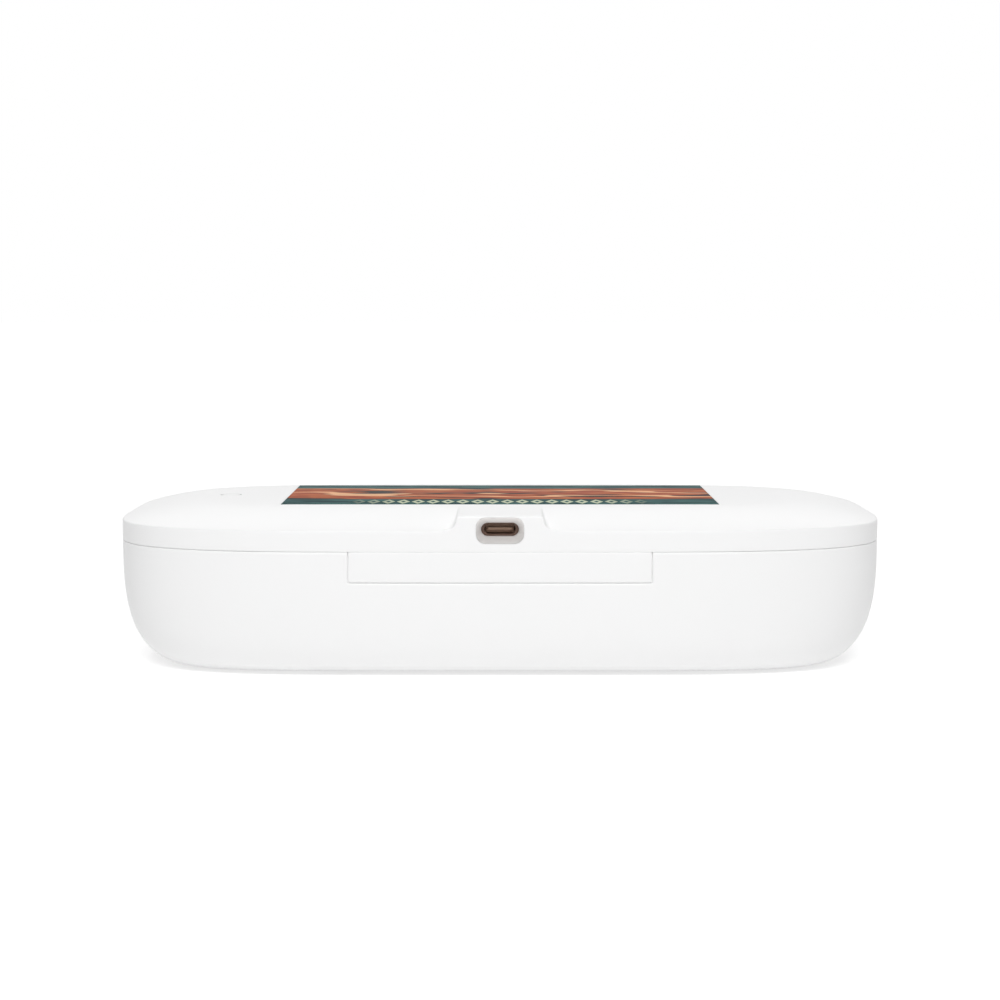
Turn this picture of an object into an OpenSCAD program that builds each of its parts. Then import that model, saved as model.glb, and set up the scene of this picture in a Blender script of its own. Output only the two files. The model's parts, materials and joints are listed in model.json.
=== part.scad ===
// A phone sanitizing box: a hinged lid with ultraviolet diodes and a charging coil, over a lined chamber.
// +X is right seen from the front, +Y is the rear with the hinge and the socket, +Z is up.
// The origin is on the table, under the middle of the box.

/* [Overall] */
// Length of the box, left to right
box_length = 214; // [212:1:220]
// Depth of the box, front to rear
box_depth = 117; // [116:1:120]
// Height from the table to the flat top
box_height = 45; // [44.8:0.1:45.4]
// How far the feet lift the base off the table
foot_lift = 0.7; // [0.5:0.1:0.9]
// Squareness of the outline seen from above, 2 is an ellipse
outline_power = 3.92; // [3.6:0.02:4.2]

/* [Casings] */
// Wall thickness of both casings
wall = 2.2; // [2:0.1:2.3]
// Thickness of the lid's flat top
roof = 2; // [1.8:0.1:2]
// Fine gap between the lid and the base
parting_gap = 0.35; // [0.3:0.05:0.4]
// Height of the base's rim above the table
rim_z = 35.05; // [34.9:0.05:35.1]
// Height of the crease between the lid's upright band and its dome
crease_z = 40.9; // [40.8:0.1:41]
// How far the dome draws in along the length
dome_inset_x = 20.4; // [19:0.2:21]
// How far the dome draws in along the depth
dome_inset_y = 28; // [27:0.5:29]
// How far the base's sides curl in along the length
curl_inset_x = 16.4; // [15:0.1:17]
// How far the base's sides curl in along the depth
curl_inset_y = 15; // [14:0.1:16]

/* [Chamber] */
// Half length of the phone chamber
chamber_half_x = 93; // [90:0.5:93]
// Front wall of the chamber
chamber_front = -45.5; // [-46:0.5:-44]
// Rear wall of the chamber
chamber_rear = 40.5; // [39:0.5:40.5]
// Top of the chamber's floor
chamber_floor = 13.1; // [13:0.1:14]
// Corner radius of the chamber
chamber_corner = 18; // [14:1:20]
// Number of clear ribs that the phone lies on
rest_count = 5; // [3:1:7]

/* [Hinge] */
// Depth of the hinge axis
hinge_y = 54.5; // [54.4:0.1:54.6]
// Height of the hinge axis
hinge_z = 30.6; // [30.5:0.1:30.7]
// Radius of the hinge pin
pin_r = 1.2; // [1.1:0.05:1.25]
// Radius of the knuckles round the pin
knuckle_r = 2.4; // [2.3:0.05:2.5]
// Half width of the hinge cover
cover_half = 40.3; // [40:0.1:41]

/* [Controls] */
// Width of the socket's outer recess
recess_w = 12.7; // [12.4:0.1:13]
// Height of the socket's outer recess
recess_h = 7; // [6.8:0.1:7]
// Height of the middle of the socket
port_z = 41.05; // [41:0.05:41.1]
// Radius of the power button
button_r = 2.8; // [2.5:0.1:3]
// Place of the power button along the length
button_x = 78.5; // [76:0.5:80]
// How far the power button travels
button_travel = 0.6; // [0.4:0.1:0.6]
// Length of the printed panel
print_w = 122.4; // [110:0.1:126]
// Depth of the printed panel
print_d = 57; // [50:0.5:58]

/* [Hidden] */

half_x = box_length / 2;
half_y = box_depth / 2;
outline_points = 72;
thin = 0.01;
fit = 0.1;
lid_z = rim_z + parting_gap;

// Curl of the base: exponents of its side curve, and the outline's squareness at the bottom.
curl_power = 3.25;
curl_round = 1.86;
bottom_power = 5.4;
curl_levels = [1, 0.985, 0.955, 0.9, 0.82, 0.7, 0.5, 0.25, 0];
floor_z = foot_lift + wall;

// Dome of the lid.
dome_power = 1.57;
top_power = 3.5;
dome_levels = [0, 0.1, 0.24, 0.42, 0.66, 1];
inner_crease = crease_z - 0.9;
inner_top = box_height - roof;
inner_dome_x = 18.5;
inner_dome_y = 26;
hump_half = 11.6;
hump_flare = 3.2;
hump_edge = 0.6;
hump_front = 24;

// Finger hollow in the front rim: a large cylinder that cuts in by finger_depth.
finger_r = 60;
finger_depth = 1.3;
finger_z = 29.5;
finger_h = 10;

// Chamber and tray.
tray_wall = 1.6;
tray_under = chamber_floor - tray_wall;
flange_top = rim_z - 0.45;
flange_t = 1.4;
chamber_mid = (chamber_front + chamber_rear) / 2;
chamber_half_y = (chamber_rear - chamber_front) / 2;
pan_t = 0.5;
rest_w = 2.4;
rest_h = 2.6;
rest_l = 60;
rest_span = 120;
rest_pitch = rest_span / (rest_count - 1);

// Feet, and the screws under them that hold the tray.
foot_r = 6;
foot_x = 72;
foot_y = 30;
foot_seat = 0.8;
foot_edge = 0.5;
pad_r = 5;
pad_top = 5.4;
screw_seat_r = 3.1;
screw_seat_z = 3.4;
tray_boss_r = 3.5;
m3_r = 1.25;

// Hinge hardware. Distances with "in" are measured from the hinge axis towards the front.
arm_x = 29;
arm_w = 6;
bore_press = 0.02;
bore_run = 0.06;
side_gap = 0.4;
flange_in = 7.7;
bracket_t = 1.8;
plate_drop = 4.4;
plate_t = 1.2;
rib_half = 20;
rib_in = 10.9;
rib_t = 3;
leg_in = 9;
stop_in = 4.7;
arm_plate_z = 39.5;
arm_plate_t = 1.6;
arm_plate_in = 20.5;
swing_half = 66;
swing_steps = 7;
swing_gap = 0.14;
cover_t = 1.25;
cover_bottom = 27.1;
cover_gap = 0.35;
notch_depth = 8;
tab_x = 11;
tab_half = 3;
bracket_screw_x = [-15.5, -8.5, 8.5, 15.5];
arm_screw_y = [37, 43];

// Lid parts.
liner_z = lid_z + 0.2;
liner_t = 1.4;
liner_top = liner_z + liner_t;
lip_gap = 1.2;
lip_t = 1.2;
lip_z = 34;
mirror_t = 0.4;
liner_screw_at = [
  [-96, -22, 42.2], [-96, 22, 42.2], [96, -22, 42.2], [96, 22, 42.2],
  [0, -50.5, 41.4], [-62, 46, 41.8], [62, 46, 41.8]
];
magnet_at = [[-60, -50], [60, -50]];
magnet_r = 3;
magnet_h = 2;
sense_magnet_x = 99;
uv_mid_x = 45;
uv_board_w = 44;
uv_board_d = 13;
board_t = 1;
uv_board_z = 39;
uv_screw_dx = 19;
window_w = 34;
window_d = 13;
window_t = 0.9;
aperture_w = 30;
aperture_d = 9;
led_size = 3.5;
led_t = 1;
led_dx = 10;
print_t = 0.25;
print_fit = 0.05;
coil_r = 21;
coil_hole_r = 10;
coil_t = 1.2;
ferrite_t = 0.6;

// Main board and socket.
main_half_x = 23.5;
main_front = 24;
main_rear = 53.5;
main_z = 38.2;
main_t = 1.2;
main_top = main_z + main_t;
main_screw_at = [[-20.5, 26.8, 43.4], [20.5, 26.8, 43.4], [-20.5, 50.2, 41.6], [20.5, 50.2, 41.6]];
chip_at = [[-12, 30, 6, 6], [8, 31, 4, 4], [-17, 42, 3.8, 4.9]];
chip_h = 1;
capacitor_x = [-2, 2.6];
capacitor_y = 31.5;
capacitor_h = 2.5;
inductor_at = [[34, 2.4], [41, 1.6]];
inductor_x = 13.4;
inductor_w = 5;
socket_x = 16;
socket_w = 4.4;
socket_d = 3.6;
socket_h = 1.9;
bezel_depth = 4;
funnel_depth = 3;
slot_w = 10.1;
slot_h = 3.66;
usb_w = 8.94;
usb_h = 3.2;
usb_skin = 0.3;
usb_length = 7.1;
usb_mouth = half_y - bezel_depth - fit;
tongue_w = 6.69;
tongue_t = 0.7;
contact_count = 12;
contact_pitch = 0.54;
contact_w = 0.3;
contact_l = 4.6;
contact_t = 0.1;

// Button and its board.
button_gap = 0.3;
button_y = 1;
flange_r = 4;
flange_z = 41.9;
flange_h = 1;
stem_z = 41.65;
switch_size = 4.6;
switch_h = 1;
plunger_r = 1;
switch_base = 0.1;
plunger_z = uv_board_z + board_t + switch_base + button_travel;
key_x = [70, 98];
key_y = [-5, 9];
key_screw_at = [[72.5, 6.5, 43.4], [95.3, -2.3, 42.4]];
lead_r = 0.45;
lead_sides = 6;
lead_end_y = main_front + 0.25;

// Colours.
casing_white = [0.96, 0.96, 0.96];
liner_white = [0.9, 0.9, 0.91];
metal_grey = [0.7, 0.71, 0.73];
board_green = [0.1, 0.35, 0.22];

// ---------- shared shapes ----------

function power_curve(v, p) = sign(v) * pow(abs(v), 2 / p);

function outline(a, b, p) = [
  for (i = [0 : outline_points - 1])
    let (t = 360 * i / outline_points)
      [a * power_curve(cos(t), p), b * power_curve(sin(t), p)]
];

function curl(u) = 1 - pow(1 - pow(u, curl_power), 1 / curl_round);

module outline_slab(a, b, p, z, h) {
  translate([0, 0, z])
    linear_extrude(h)
      polygon(outline(a, b, p));
}

// Faces of a tube of m rings with n points each, closed by a first and a last face.
function tube_faces(n, m) = concat(
  [
    for (i = [0 : m - 2], s = [0 : n - 1])
      let (
        a = i * n + s,
        b = i * n + (s + 1) % n
      )
        each [[a, b + n, b], [a, a + n, b + n]]
  ],
  [[for (s = [0 : n - 1]) s], [for (s = [n - 1 : -1 : 0]) (m - 1) * n + s]]
);

// A solid skinned over outlines stacked upwards, each given as [half length, half depth, power, z].
module loft(levels) {
  points = [for (l = levels) each [for (q = outline(l[0], l[1], l[2])) [q[0], q[1], l[3]]]];
  polyhedron(points, tube_faces(outline_points, len(levels)), convexity = 6);
}

// The base's solid form up to z = top, drawn in by one wall and raised by one floor where inner is 1.
module base_form(inner, top) {
  low = foot_lift + inner * wall;
  loft([
    for (u = curl_levels)
      let (f = curl(u))
        [
          half_x - inner * wall - curl_inset_x * f, half_y - inner * wall - curl_inset_y * f,
          outline_power + (bottom_power - outline_power) * f,
          u > 0 ? lid_z - u * (lid_z - low) : top
        ]
  ]);
}

// The lid's solid form: an upright band from z = bottom to the crease, under a dome.
module lid_form(inset, bottom, crease, top, draw_x, draw_y) {
  band = [half_x - inset, half_y - inset, outline_power, bottom];
  dome = [
    for (v = dome_levels)
      [
        half_x - inset - draw_x * v, half_y - inset - draw_y * v,
        outline_power + (top_power - outline_power) * v,
        crease + (top - crease) * (1 - pow(1 - v, dome_power))
      ]
  ];
  loft(concat([band], dome));
}

// A plate with rounded corners, grown or shrunk by grow from the chamber's own outline.
module chamber_plate(grow, z, h) {
  hx = chamber_half_x + grow;
  hy = chamber_half_y + grow;
  r = chamber_corner + grow;
  translate([0, chamber_mid, z])
    linear_extrude(h) {
      square([2 * hx - 2 * r, 2 * hy], center = true);
      square([2 * hx, 2 * hy - 2 * r], center = true);
      for (sx = [-1, 1], sy = [-1, 1])
        translate([sx * (hx - r), sy * (hy - r)])
          circle(r, $fn = 48);
    }
}

// A rounded rectangle standing in the XZ plane, from y = from towards the rear.
module upright_plate(w, h, r, from, length) {
  translate([0, from + length, port_z])
    rotate([90, 0, 0])
      linear_extrude(length) {
        square([w - 2 * r, h], center = true);
        if (h > 2 * r) square([w, h - 2 * r], center = true);
        for (sx = [-1, 1], sz = [-1, 1])
          translate([sx * (w / 2 - r), sz * (h / 2 - r)])
            circle(r, $fn = 32);
      }
}

// A block between two corners.
module block(low, high) {
  translate(low)
    cube(high - low);
}

// An upright screw whose head sits on z = seat: above it with up = 1, below it with up = -1.
module upright_screw(seat, head_r, head_h, shank_r, length, up) {
  translate([0, 0, up > 0 ? seat : seat - head_h])
    cylinder(r = head_r, h = head_h, $fn = 24);
  translate([0, 0, up > 0 ? seat - length : seat])
    cylinder(r = shank_r, h = length, $fn = 24);
}

module upright_bore(at, r, z, h) {
  translate([at[0], at[1], z])
    cylinder(r = r, h = h, $fn = 32);
}

module axis_cylinder(r, from, to) {
  translate([from, hinge_y, hinge_z])
    rotate([0, 90, 0])
      cylinder(r = r, h = to - from, $fn = 40);
}

// The space round the hinge axis that the base's rim sweeps through, seen from the lid.
module swing_space() {
  rim_up = rim_z - hinge_z;
  xs = [for (i = [-swing_steps : swing_steps]) i * swing_half / swing_steps];
  profile = [
    for (x = xs)
      let (out = half_y * pow(1 - pow(abs(x) / half_x, outline_power), 1 / outline_power) - hinge_y)
        [norm([out, rim_up]) + swing_gap, x]
  ];
  translate([0, hinge_y, hinge_z])
    rotate([0, 90, 0])
      rotate_extrude($fn = 96)
        polygon(concat([[0, -swing_half]], profile, [[0, swing_half]]));
}

function unit(v) = v / norm(v);

// Smooth curve through the points p, with k steps to a stretch.
function spline(p, k) = [
  for (i = [0 : len(p) - 2], j = [0 : i == len(p) - 2 ? k : k - 1])
    let (
      t = j / k,
      a = p[max(i - 1, 0)], b = p[i], c = p[i + 1], d = p[min(i + 2, len(p) - 1)]
    )
      0.5 * (2 * b + (c - a) * t + (2 * a - 5 * b + 4 * c - d) * t * t
        + (3 * b - a - 3 * c + d) * t * t * t)
];

// A round lead swept along the points p.
module lead(p) {
  path = spline(p, 4);
  n = len(path);
  rings = [
    for (i = [0 : n - 1])
      let (
        t = unit(path[min(i + 1, n - 1)] - path[max(i - 1, 0)]),
        u = unit(cross([0, 0, 1], t)),
        w = cross(t, u)
      )
        for (s = [0 : lead_sides - 1])
          path[i] + lead_r * (cos(360 * s / lead_sides) * u + sin(360 * s / lead_sides) * w)
  ];
  polyhedron(rings, tube_faces(lead_sides, n), convexity = 4);
}

// ---------- base ----------

module base_shell() {
  color(casing_white)
    difference() {
      union() {
        difference() {
          base_form(0, rim_z);
          base_form(1, rim_z + 2);
        }
        for (sx = [-1, 1], sy = [-1, 1])
          upright_bore([sx * foot_x, sy * foot_y], pad_r, floor_z - 0.5, pad_top - floor_z + 0.5);
        block(
          [-rib_half, hinge_y - rib_in, floor_z - 0.5],
          [rib_half, hinge_y - rib_in + rib_t, flange_top - 0.6]
        );
      }
      for (sx = [-1, 1], sy = [-1, 1]) {
        upright_bore([sx * foot_x, sy * foot_y], foot_r + 0.2, foot_lift - 1, foot_seat + 1);
        upright_bore([sx * foot_x, sy * foot_y], screw_seat_r, foot_lift, screw_seat_z - foot_lift);
        upright_bore([sx * foot_x, sy * foot_y], m3_r + 0.45, foot_lift, 10);
      }
      block(
        [-cover_half - cover_gap, half_y - notch_depth, cover_bottom - cover_gap],
        [cover_half + cover_gap, half_y + 2, rim_z + 2]
      );
      translate([0, -half_y - finger_r + finger_depth, finger_z])
        cylinder(r = finger_r, h = finger_h, $fn = 96);
      for (x = bracket_screw_x)
        translate([x, hinge_y - rib_in + rib_t + 1, hinge_z])
          rotate([90, 0, 0])
            cylinder(r = 0.95, h = rib_t + 2, $fn = 24);
    }
}

module inner_tray() {
  color(liner_white)
    difference() {
      union() {
        outline_slab(
          half_x - wall - fit, half_y - wall - fit, outline_power, flange_top - flange_t, flange_t
        );
        chamber_plate(tray_wall, tray_under, flange_top - tray_under);
        for (sx = [-1, 1], sy = [-1, 1])
          upright_bore([sx * foot_x, sy * foot_y], tray_boss_r, pad_top + fit, tray_under - pad_top);
        for (at = concat(magnet_at, [[sense_magnet_x, 0]]))
          upright_bore(at, magnet_r + 1, flange_top - flange_t - magnet_h, magnet_h + 0.5);
      }
      chamber_plate(0, chamber_floor, 40);
      block([-cover_half - 0.7, chamber_rear + 2.9, 20], [cover_half + 0.7, half_y, rim_z + 1]);
      for (sx = [-1, 1], sy = [-1, 1])
        upright_bore([sx * foot_x, sy * foot_y], m3_r, 0, tray_under - 0.6);
      for (at = concat(magnet_at, [[sense_magnet_x, 0]]))
        upright_bore(at, magnet_r, 20, flange_top - flange_t - 20);
    }
}

module tray_reflector() {
  color([0.85, 0.86, 0.88])
    difference() {
      chamber_plate(-fit, chamber_floor, flange_top - 1 - chamber_floor);
      chamber_plate(-fit - pan_t, chamber_floor + pan_t, 40);
    }
}

module phone_rests() {
  color([0.85, 0.92, 0.95, 0.5])
    for (i = [0 : rest_count - 1])
      translate([(i - (rest_count - 1) / 2) * rest_pitch, chamber_mid, chamber_floor + pan_t])
        linear_extrude(rest_h) {
          square([rest_w, rest_l - rest_w], center = true);
          for (s = [-1, 1])
            translate([0, s * (rest_l - rest_w) / 2])
              circle(rest_w / 2, $fn = 24);
        }
}

module base_screws() {
  color(metal_grey)
    for (sx = [-1, 1], sy = [-1, 1])
      translate([sx * foot_x, sy * foot_y, 0])
        upright_screw(screw_seat_z, 2.7, 1.6, m3_r - 0.02, 7, -1);
}

module base_magnets() {
  color(metal_grey)
    for (at = concat(magnet_at, [[sense_magnet_x, 0]]))
      upright_bore(at, magnet_r - 0.05, flange_top - flange_t - magnet_h, magnet_h);
}

module foot(sx, sy) {
  top = foot_lift + foot_seat - 0.05;
  color([0.25, 0.25, 0.26])
    translate([sx * foot_x, sy * foot_y, 0])
      rotate_extrude($fn = 64)
        polygon([[0, 0], [foot_r - foot_edge, 0], [foot_r, foot_edge], [foot_r, top], [0, top]]);
}

module foot_front_left() { foot(-1, -1); }
module foot_front_right() { foot(1, -1); }
module foot_rear_left() { foot(-1, 1); }
module foot_rear_right() { foot(1, 1); }

// ---------- hinge ----------

module hinge_bracket() {
  color(metal_grey)
    difference() {
      union() {
        for (x = [[-38, -arm_x - arm_w / 2 - side_gap], [-arm_x + arm_w / 2 + side_gap, -20], [-3, 3],
                  [20, arm_x - arm_w / 2 - side_gap], [arm_x + arm_w / 2 + side_gap, 38]]) {
          axis_cylinder(knuckle_r, x[0], x[1]);
          block([x[0], hinge_y - flange_in + 1, hinge_z - knuckle_r], [x[1], hinge_y, hinge_z + knuckle_r]);
          block([x[0], hinge_y - knuckle_r, hinge_z - plate_drop + 0.5], [x[1], hinge_y + 1, hinge_z]);
        }
        block(
          [-38.6, hinge_y - flange_in, hinge_z - plate_drop],
          [38.6, hinge_y - flange_in + bracket_t, flange_top - 0.6]
        );
        block(
          [-38.6, hinge_y - flange_in, hinge_z - plate_drop],
          [38.6, hinge_y + 1.3, hinge_z - plate_drop + plate_t]
        );
      }
      axis_cylinder(pin_r + bore_press, -50, 50);
      for (sx = [-1, 1])
        block(
          [sx * arm_x - arm_w / 2 - side_gap, hinge_y - flange_in - 1, hinge_z - knuckle_r],
          [sx * arm_x + arm_w / 2 + side_gap, hinge_y - flange_in + bracket_t + 1, hinge_z + 10]
        );
      for (x = bracket_screw_x)
        translate([x, hinge_y - flange_in + bracket_t + 1, hinge_z])
          rotate([90, 0, 0])
            cylinder(r = 1.2, h = bracket_t + 2, $fn = 24);
    }
}

module hinge_pin() {
  color([0.78, 0.79, 0.8])
    axis_cylinder(pin_r, -38.4, 38.4);
}

module hinge_cover() {
  color(casing_white) {
    intersection() {
      difference() {
        outline_slab(half_x, half_y, outline_power, cover_bottom, rim_z - cover_bottom);
        outline_slab(half_x - cover_t, half_y - cover_t, outline_power, cover_bottom - 1, 20);
      }
      block([-cover_half, 0, 0], [cover_half, half_y + 1, 60]);
    }
    // Snap tabs that grip the bracket's bottom plate.
    for (sx = [-1, 1])
      block(
        [sx * tab_x - tab_half, hinge_y - 1, hinge_z - plate_drop + plate_t + fit],
        [sx * tab_x + tab_half, half_y - cover_t + 0.2, hinge_z - plate_drop + plate_t + 1.3]
      );
  }
}

module bracket_screws() {
  color(metal_grey)
    for (x = bracket_screw_x)
      translate([x, hinge_y - flange_in + bracket_t, hinge_z])
        rotate([-90, 0, 0])
          upright_screw(0, 2.1, 1.5, 0.93, 4.6, 1);
}

module hinge_arm(side) {
  x0 = side * arm_x - arm_w / 2;
  x1 = x0 + arm_w;
  color(metal_grey)
    difference() {
      union() {
        axis_cylinder(knuckle_r, x0, x1);
        block([x0, hinge_y - leg_in, hinge_z - pin_r], [x1, hinge_y, hinge_z + pin_r]);
        block([x0, hinge_y - leg_in, hinge_z - pin_r], [x1, hinge_y - stop_in, arm_plate_z]);
        block(
          [x0 - 1, hinge_y - arm_plate_in, arm_plate_z - arm_plate_t],
          [x1 + 1, hinge_y - stop_in, arm_plate_z]
        );
      }
      axis_cylinder(pin_r + bore_run, x0 - 1, x1 + 1);
      for (y = arm_screw_y)
        upright_bore([side * arm_x, y], 1.2, 30, 20);
    }
}

module hinge_arm_left() { hinge_arm(-1); }
module hinge_arm_right() { hinge_arm(1); }

module arm_screws() {
  color(metal_grey)
    for (sx = [-1, 1], y = arm_screw_y)
      translate([sx * arm_x, y, 0])
        upright_screw(arm_plate_z - arm_plate_t, 2.1, 0.8, 0.93, 3.8, -1);
}

// ---------- lid ----------

// A boss that stands down from the roof to z. The third number of its place is its end inside the roof.
module boss(at, r, z) {
  upright_bore(at, r, z, at[2] - z);
}

module lid_bosses() {
  for (at = liner_screw_at) boss(at, 2.6, liner_top);
  for (at = main_screw_at) boss(at, 2.2, main_top);
  for (at = key_screw_at) boss(at, 2, uv_board_z + board_t);
  for (sx = [-1, 1]) {
    for (y = arm_screw_y) boss([sx * arm_x, y, inner_top + 0.2], 2.6, arm_plate_z);
    for (dx = [-uv_screw_dx, uv_screw_dx])
      boss([sx * uv_mid_x + dx, chamber_mid, inner_top + 0.4], 2, uv_board_z + board_t);
  }
}

module lid_pilots() {
  for (at = liner_screw_at) upright_bore(at, 0.95, liner_top - 1, 4.8);
  for (at = main_screw_at) upright_bore(at, 0.95, main_top - 1, 3.2);
  for (at = key_screw_at) upright_bore(at, 0.95, uv_board_z, 3);
  for (sx = [-1, 1]) {
    for (y = arm_screw_y) upright_bore([sx * arm_x, y], 0.95, arm_plate_z - 1, 3.2);
    for (dx = [-uv_screw_dx, uv_screw_dx])
      upright_bore([sx * uv_mid_x + dx, chamber_mid], 0.95, uv_board_z, 3);
  }
}

// The raised wall round the socket: upright sides that flare out in a concave curve down to the crease.
module port_hump() {
  flare = [
    for (a = [0 : 15 : 90])
      [hump_half + hump_flare * (1 - cos(a)), crease_z + hump_flare * (1 - sin(a))]
  ];
  half = concat(
    [[hump_half - hump_edge, box_height], [hump_half, box_height - hump_edge]], flare,
    [[hump_half + hump_flare, crease_z - 2]]
  );
  mirrored = [for (i = [len(half) - 1 : -1 : 0]) [-half[i][0], half[i][1]]];
  intersection() {
    translate([0, half_y + 1, 0])
      rotate([90, 0, 0])
        linear_extrude(half_y + 1 - hump_front)
          polygon(concat(half, mirrored));
    outline_slab(half_x, half_y, outline_power, lid_z, box_height - lid_z);
  }
}

module lid_cover() {
  color(casing_white)
    difference() {
      union() {
        difference() {
          union() {
            lid_form(0, lid_z, crease_z, box_height, dome_inset_x, dome_inset_y);
            port_hump();
          }
          lid_form(wall, lid_z - 1, inner_crease, inner_top, inner_dome_x, inner_dome_y);
        }
        lid_bosses();
      }
      lid_pilots();
      // Room for the socket, the bezel's seat, the button and the printed panel.
      block([-6.5, main_front + 8, main_top - 3], [6.5, half_y - bezel_depth, inner_top]);
      upright_plate(recess_w + fit, recess_h + fit, 2.6, half_y - bezel_depth - fit, 10);
      upright_bore([button_x, button_y], button_r + button_gap, inner_top - 2, 6);
      block(
        [-print_w / 2 - print_fit, -print_d / 2 - print_fit, box_height - print_t],
        [print_w / 2 + print_fit, print_d / 2 + print_fit, box_height + 1]
      );
      swing_space();
    }
}

module print_panel() {
  color([0.68, 0.4, 0.28])
    block([-print_w / 2, -print_d / 2, box_height - print_t], [print_w / 2, print_d / 2, box_height]);
}

module port_bezel() {
  color([0.85, 0.85, 0.86])
    difference() {
      intersection() {
        upright_plate(recess_w, recess_h, 2.55, half_y - bezel_depth, bezel_depth + 1);
        outline_slab(half_x, half_y, outline_power, port_z - 10, 20);
      }
      upright_plate(slot_w, slot_h, slot_h / 2, half_y - 10, 20);
      hull() {
        upright_plate(slot_w, slot_h, slot_h / 2, half_y - funnel_depth, thin);
        upright_plate(recess_w - 0.3, recess_h - 0.3, 2.4, half_y + 0.05, thin);
      }
    }
}

module lid_liner() {
  color(liner_white)
    difference() {
      union() {
        outline_slab(half_x - wall - 0.3, half_y - wall - 0.3, outline_power, liner_z, liner_t);
        difference() {
          chamber_plate(-lip_gap, lip_z, liner_z - lip_z + 0.2);
          chamber_plate(-lip_gap - lip_t, lip_z - 1, liner_z - lip_z + 1);
        }
      }
      for (sx = [-1, 1]) {
        translate([sx * uv_mid_x, chamber_mid, liner_z])
          cube([aperture_w, aperture_d, 10], center = true);
        block(
          [sx * arm_x - arm_w / 2 - side_gap, hinge_y - leg_in - 0.3, liner_z - 1],
          [sx * arm_x + arm_w / 2 + side_gap, hinge_y - stop_in + 0.3, liner_top + 1]
        );
      }
      for (at = liner_screw_at) {
        upright_bore(at, 1.15, liner_z - 1, 5);
        upright_bore(at, 2.1, liner_z - 1, 1.7);
      }
      swing_space();
    }
}

module liner_screws() {
  color(metal_grey)
    for (at = liner_screw_at)
      translate([at[0], at[1], 0])
        upright_screw(liner_z + 0.7, 1.9, 0.7, 0.93, 4.4, -1);
}

module lid_reflector() {
  color([0.85, 0.86, 0.88])
    difference() {
      chamber_plate(-lip_gap - lip_t - fit, liner_z - mirror_t - 0.05, mirror_t);
      for (sx = [-1, 1])
        translate([sx * uv_mid_x, chamber_mid, liner_z])
          cube([aperture_w + 1, aperture_d + 1, 10], center = true);
    }
}

module lid_magnets() {
  color(metal_grey)
    for (at = magnet_at)
      upright_bore(at, magnet_r, liner_top + 0.05, magnet_h);
}

module charging_coil() {
  color([0.72, 0.42, 0.2])
    translate([0, 0, inner_top - 0.4 - coil_t])
      difference() {
        cylinder(r = coil_r, h = coil_t, $fn = 96);
        translate([0, 0, -1])
          cylinder(r = coil_hole_r, h = coil_t + 2, $fn = 64);
      }
}

module ferrite_plate() {
  color([0.2, 0.2, 0.21])
    translate([0, 0, inner_top - 0.45 - coil_t - ferrite_t])
      cylinder(r = coil_r + 0.5, h = ferrite_t, $fn = 96);
}

module uv_board(side) {
  color([0.82, 0.83, 0.84])
    difference() {
      translate([side * uv_mid_x, chamber_mid, uv_board_z + board_t / 2])
        cube([uv_board_w, uv_board_d, board_t], center = true);
      for (dx = [-uv_screw_dx, uv_screw_dx])
        upright_bore([side * uv_mid_x + dx, chamber_mid], 1.1, uv_board_z - 1, 3);
    }
}

module uv_board_left() { uv_board(-1); }
module uv_board_right() { uv_board(1); }

module uv_leds() {
  color([0.9, 0.9, 0.7])
    for (side = [-1, 1], i = [-1 : 1])
      translate([side * uv_mid_x + i * led_dx, chamber_mid, uv_board_z - led_t / 2])
        cube([led_size, led_size, led_t], center = true);
}

module uv_window(side) {
  color([0.8, 0.9, 0.95, 0.4])
    translate([side * uv_mid_x, chamber_mid, liner_top + 0.05 + window_t / 2])
      cube([window_w, window_d, window_t], center = true);
}

module uv_window_left() { uv_window(-1); }
module uv_window_right() { uv_window(1); }

module board_screws() {
  color(metal_grey) {
    for (at = main_screw_at)
      translate([at[0], at[1], 0])
        upright_screw(main_z, 1.8, 0.8, 0.93, 3.3, -1);
    for (at = key_screw_at)
      translate([at[0], at[1], 0])
        upright_screw(uv_board_z, 1.8, 0.8, 0.93, 3, -1);
    for (side = [-1, 1], dx = [-uv_screw_dx, uv_screw_dx])
      translate([side * uv_mid_x + dx, chamber_mid, 0])
        upright_screw(uv_board_z, 1.8, 0.8, 0.93, 3, -1);
  }
}

module main_board() {
  color(board_green)
    difference() {
      block([-main_half_x, main_front, main_z], [main_half_x, main_rear, main_top]);
      for (at = main_screw_at)
        upright_bore(at, 1.1, main_z - 1, 3);
    }
}

module driver_chips() {
  color([0.15, 0.15, 0.16])
    for (c = chip_at)
      block([c[0], c[1], main_top], [c[0] + c[2], c[1] + c[3], main_top + chip_h]);
}

module capacitors() {
  color([0.6, 0.62, 0.66])
    for (x = capacitor_x)
      upright_bore([x, capacitor_y], 2, main_top, capacitor_h);
}

module power_inductors() {
  color([0.3, 0.3, 0.32])
    for (c = inductor_at)
      block([inductor_x, c[0], main_top], [inductor_x + inductor_w, c[0] + inductor_w, main_top + c[1]]);
}

module wire_connectors() {
  color([0.93, 0.91, 0.85]) {
    for (x = [-socket_x, 0, socket_x])
      block(
        [x - socket_w / 2, main_front + 0.4, main_top],
        [x + socket_w / 2, main_front + 0.4 + socket_d, main_top + socket_h]
      );
    block([main_half_x - 0.4 - socket_d, 30, main_top], [main_half_x - 0.4, 35, main_top + socket_h]);
  }
}

module usb_c_shell() {
  color([0.36, 0.29, 0.26])
    difference() {
      upright_plate(usb_w, usb_h, usb_h / 2, usb_mouth - usb_length, usb_length);
      upright_plate(
        usb_w - 2 * usb_skin, usb_h - 2 * usb_skin, usb_h / 2 - usb_skin,
        usb_mouth - usb_length + 0.8, usb_length
      );
    }
}

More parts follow.
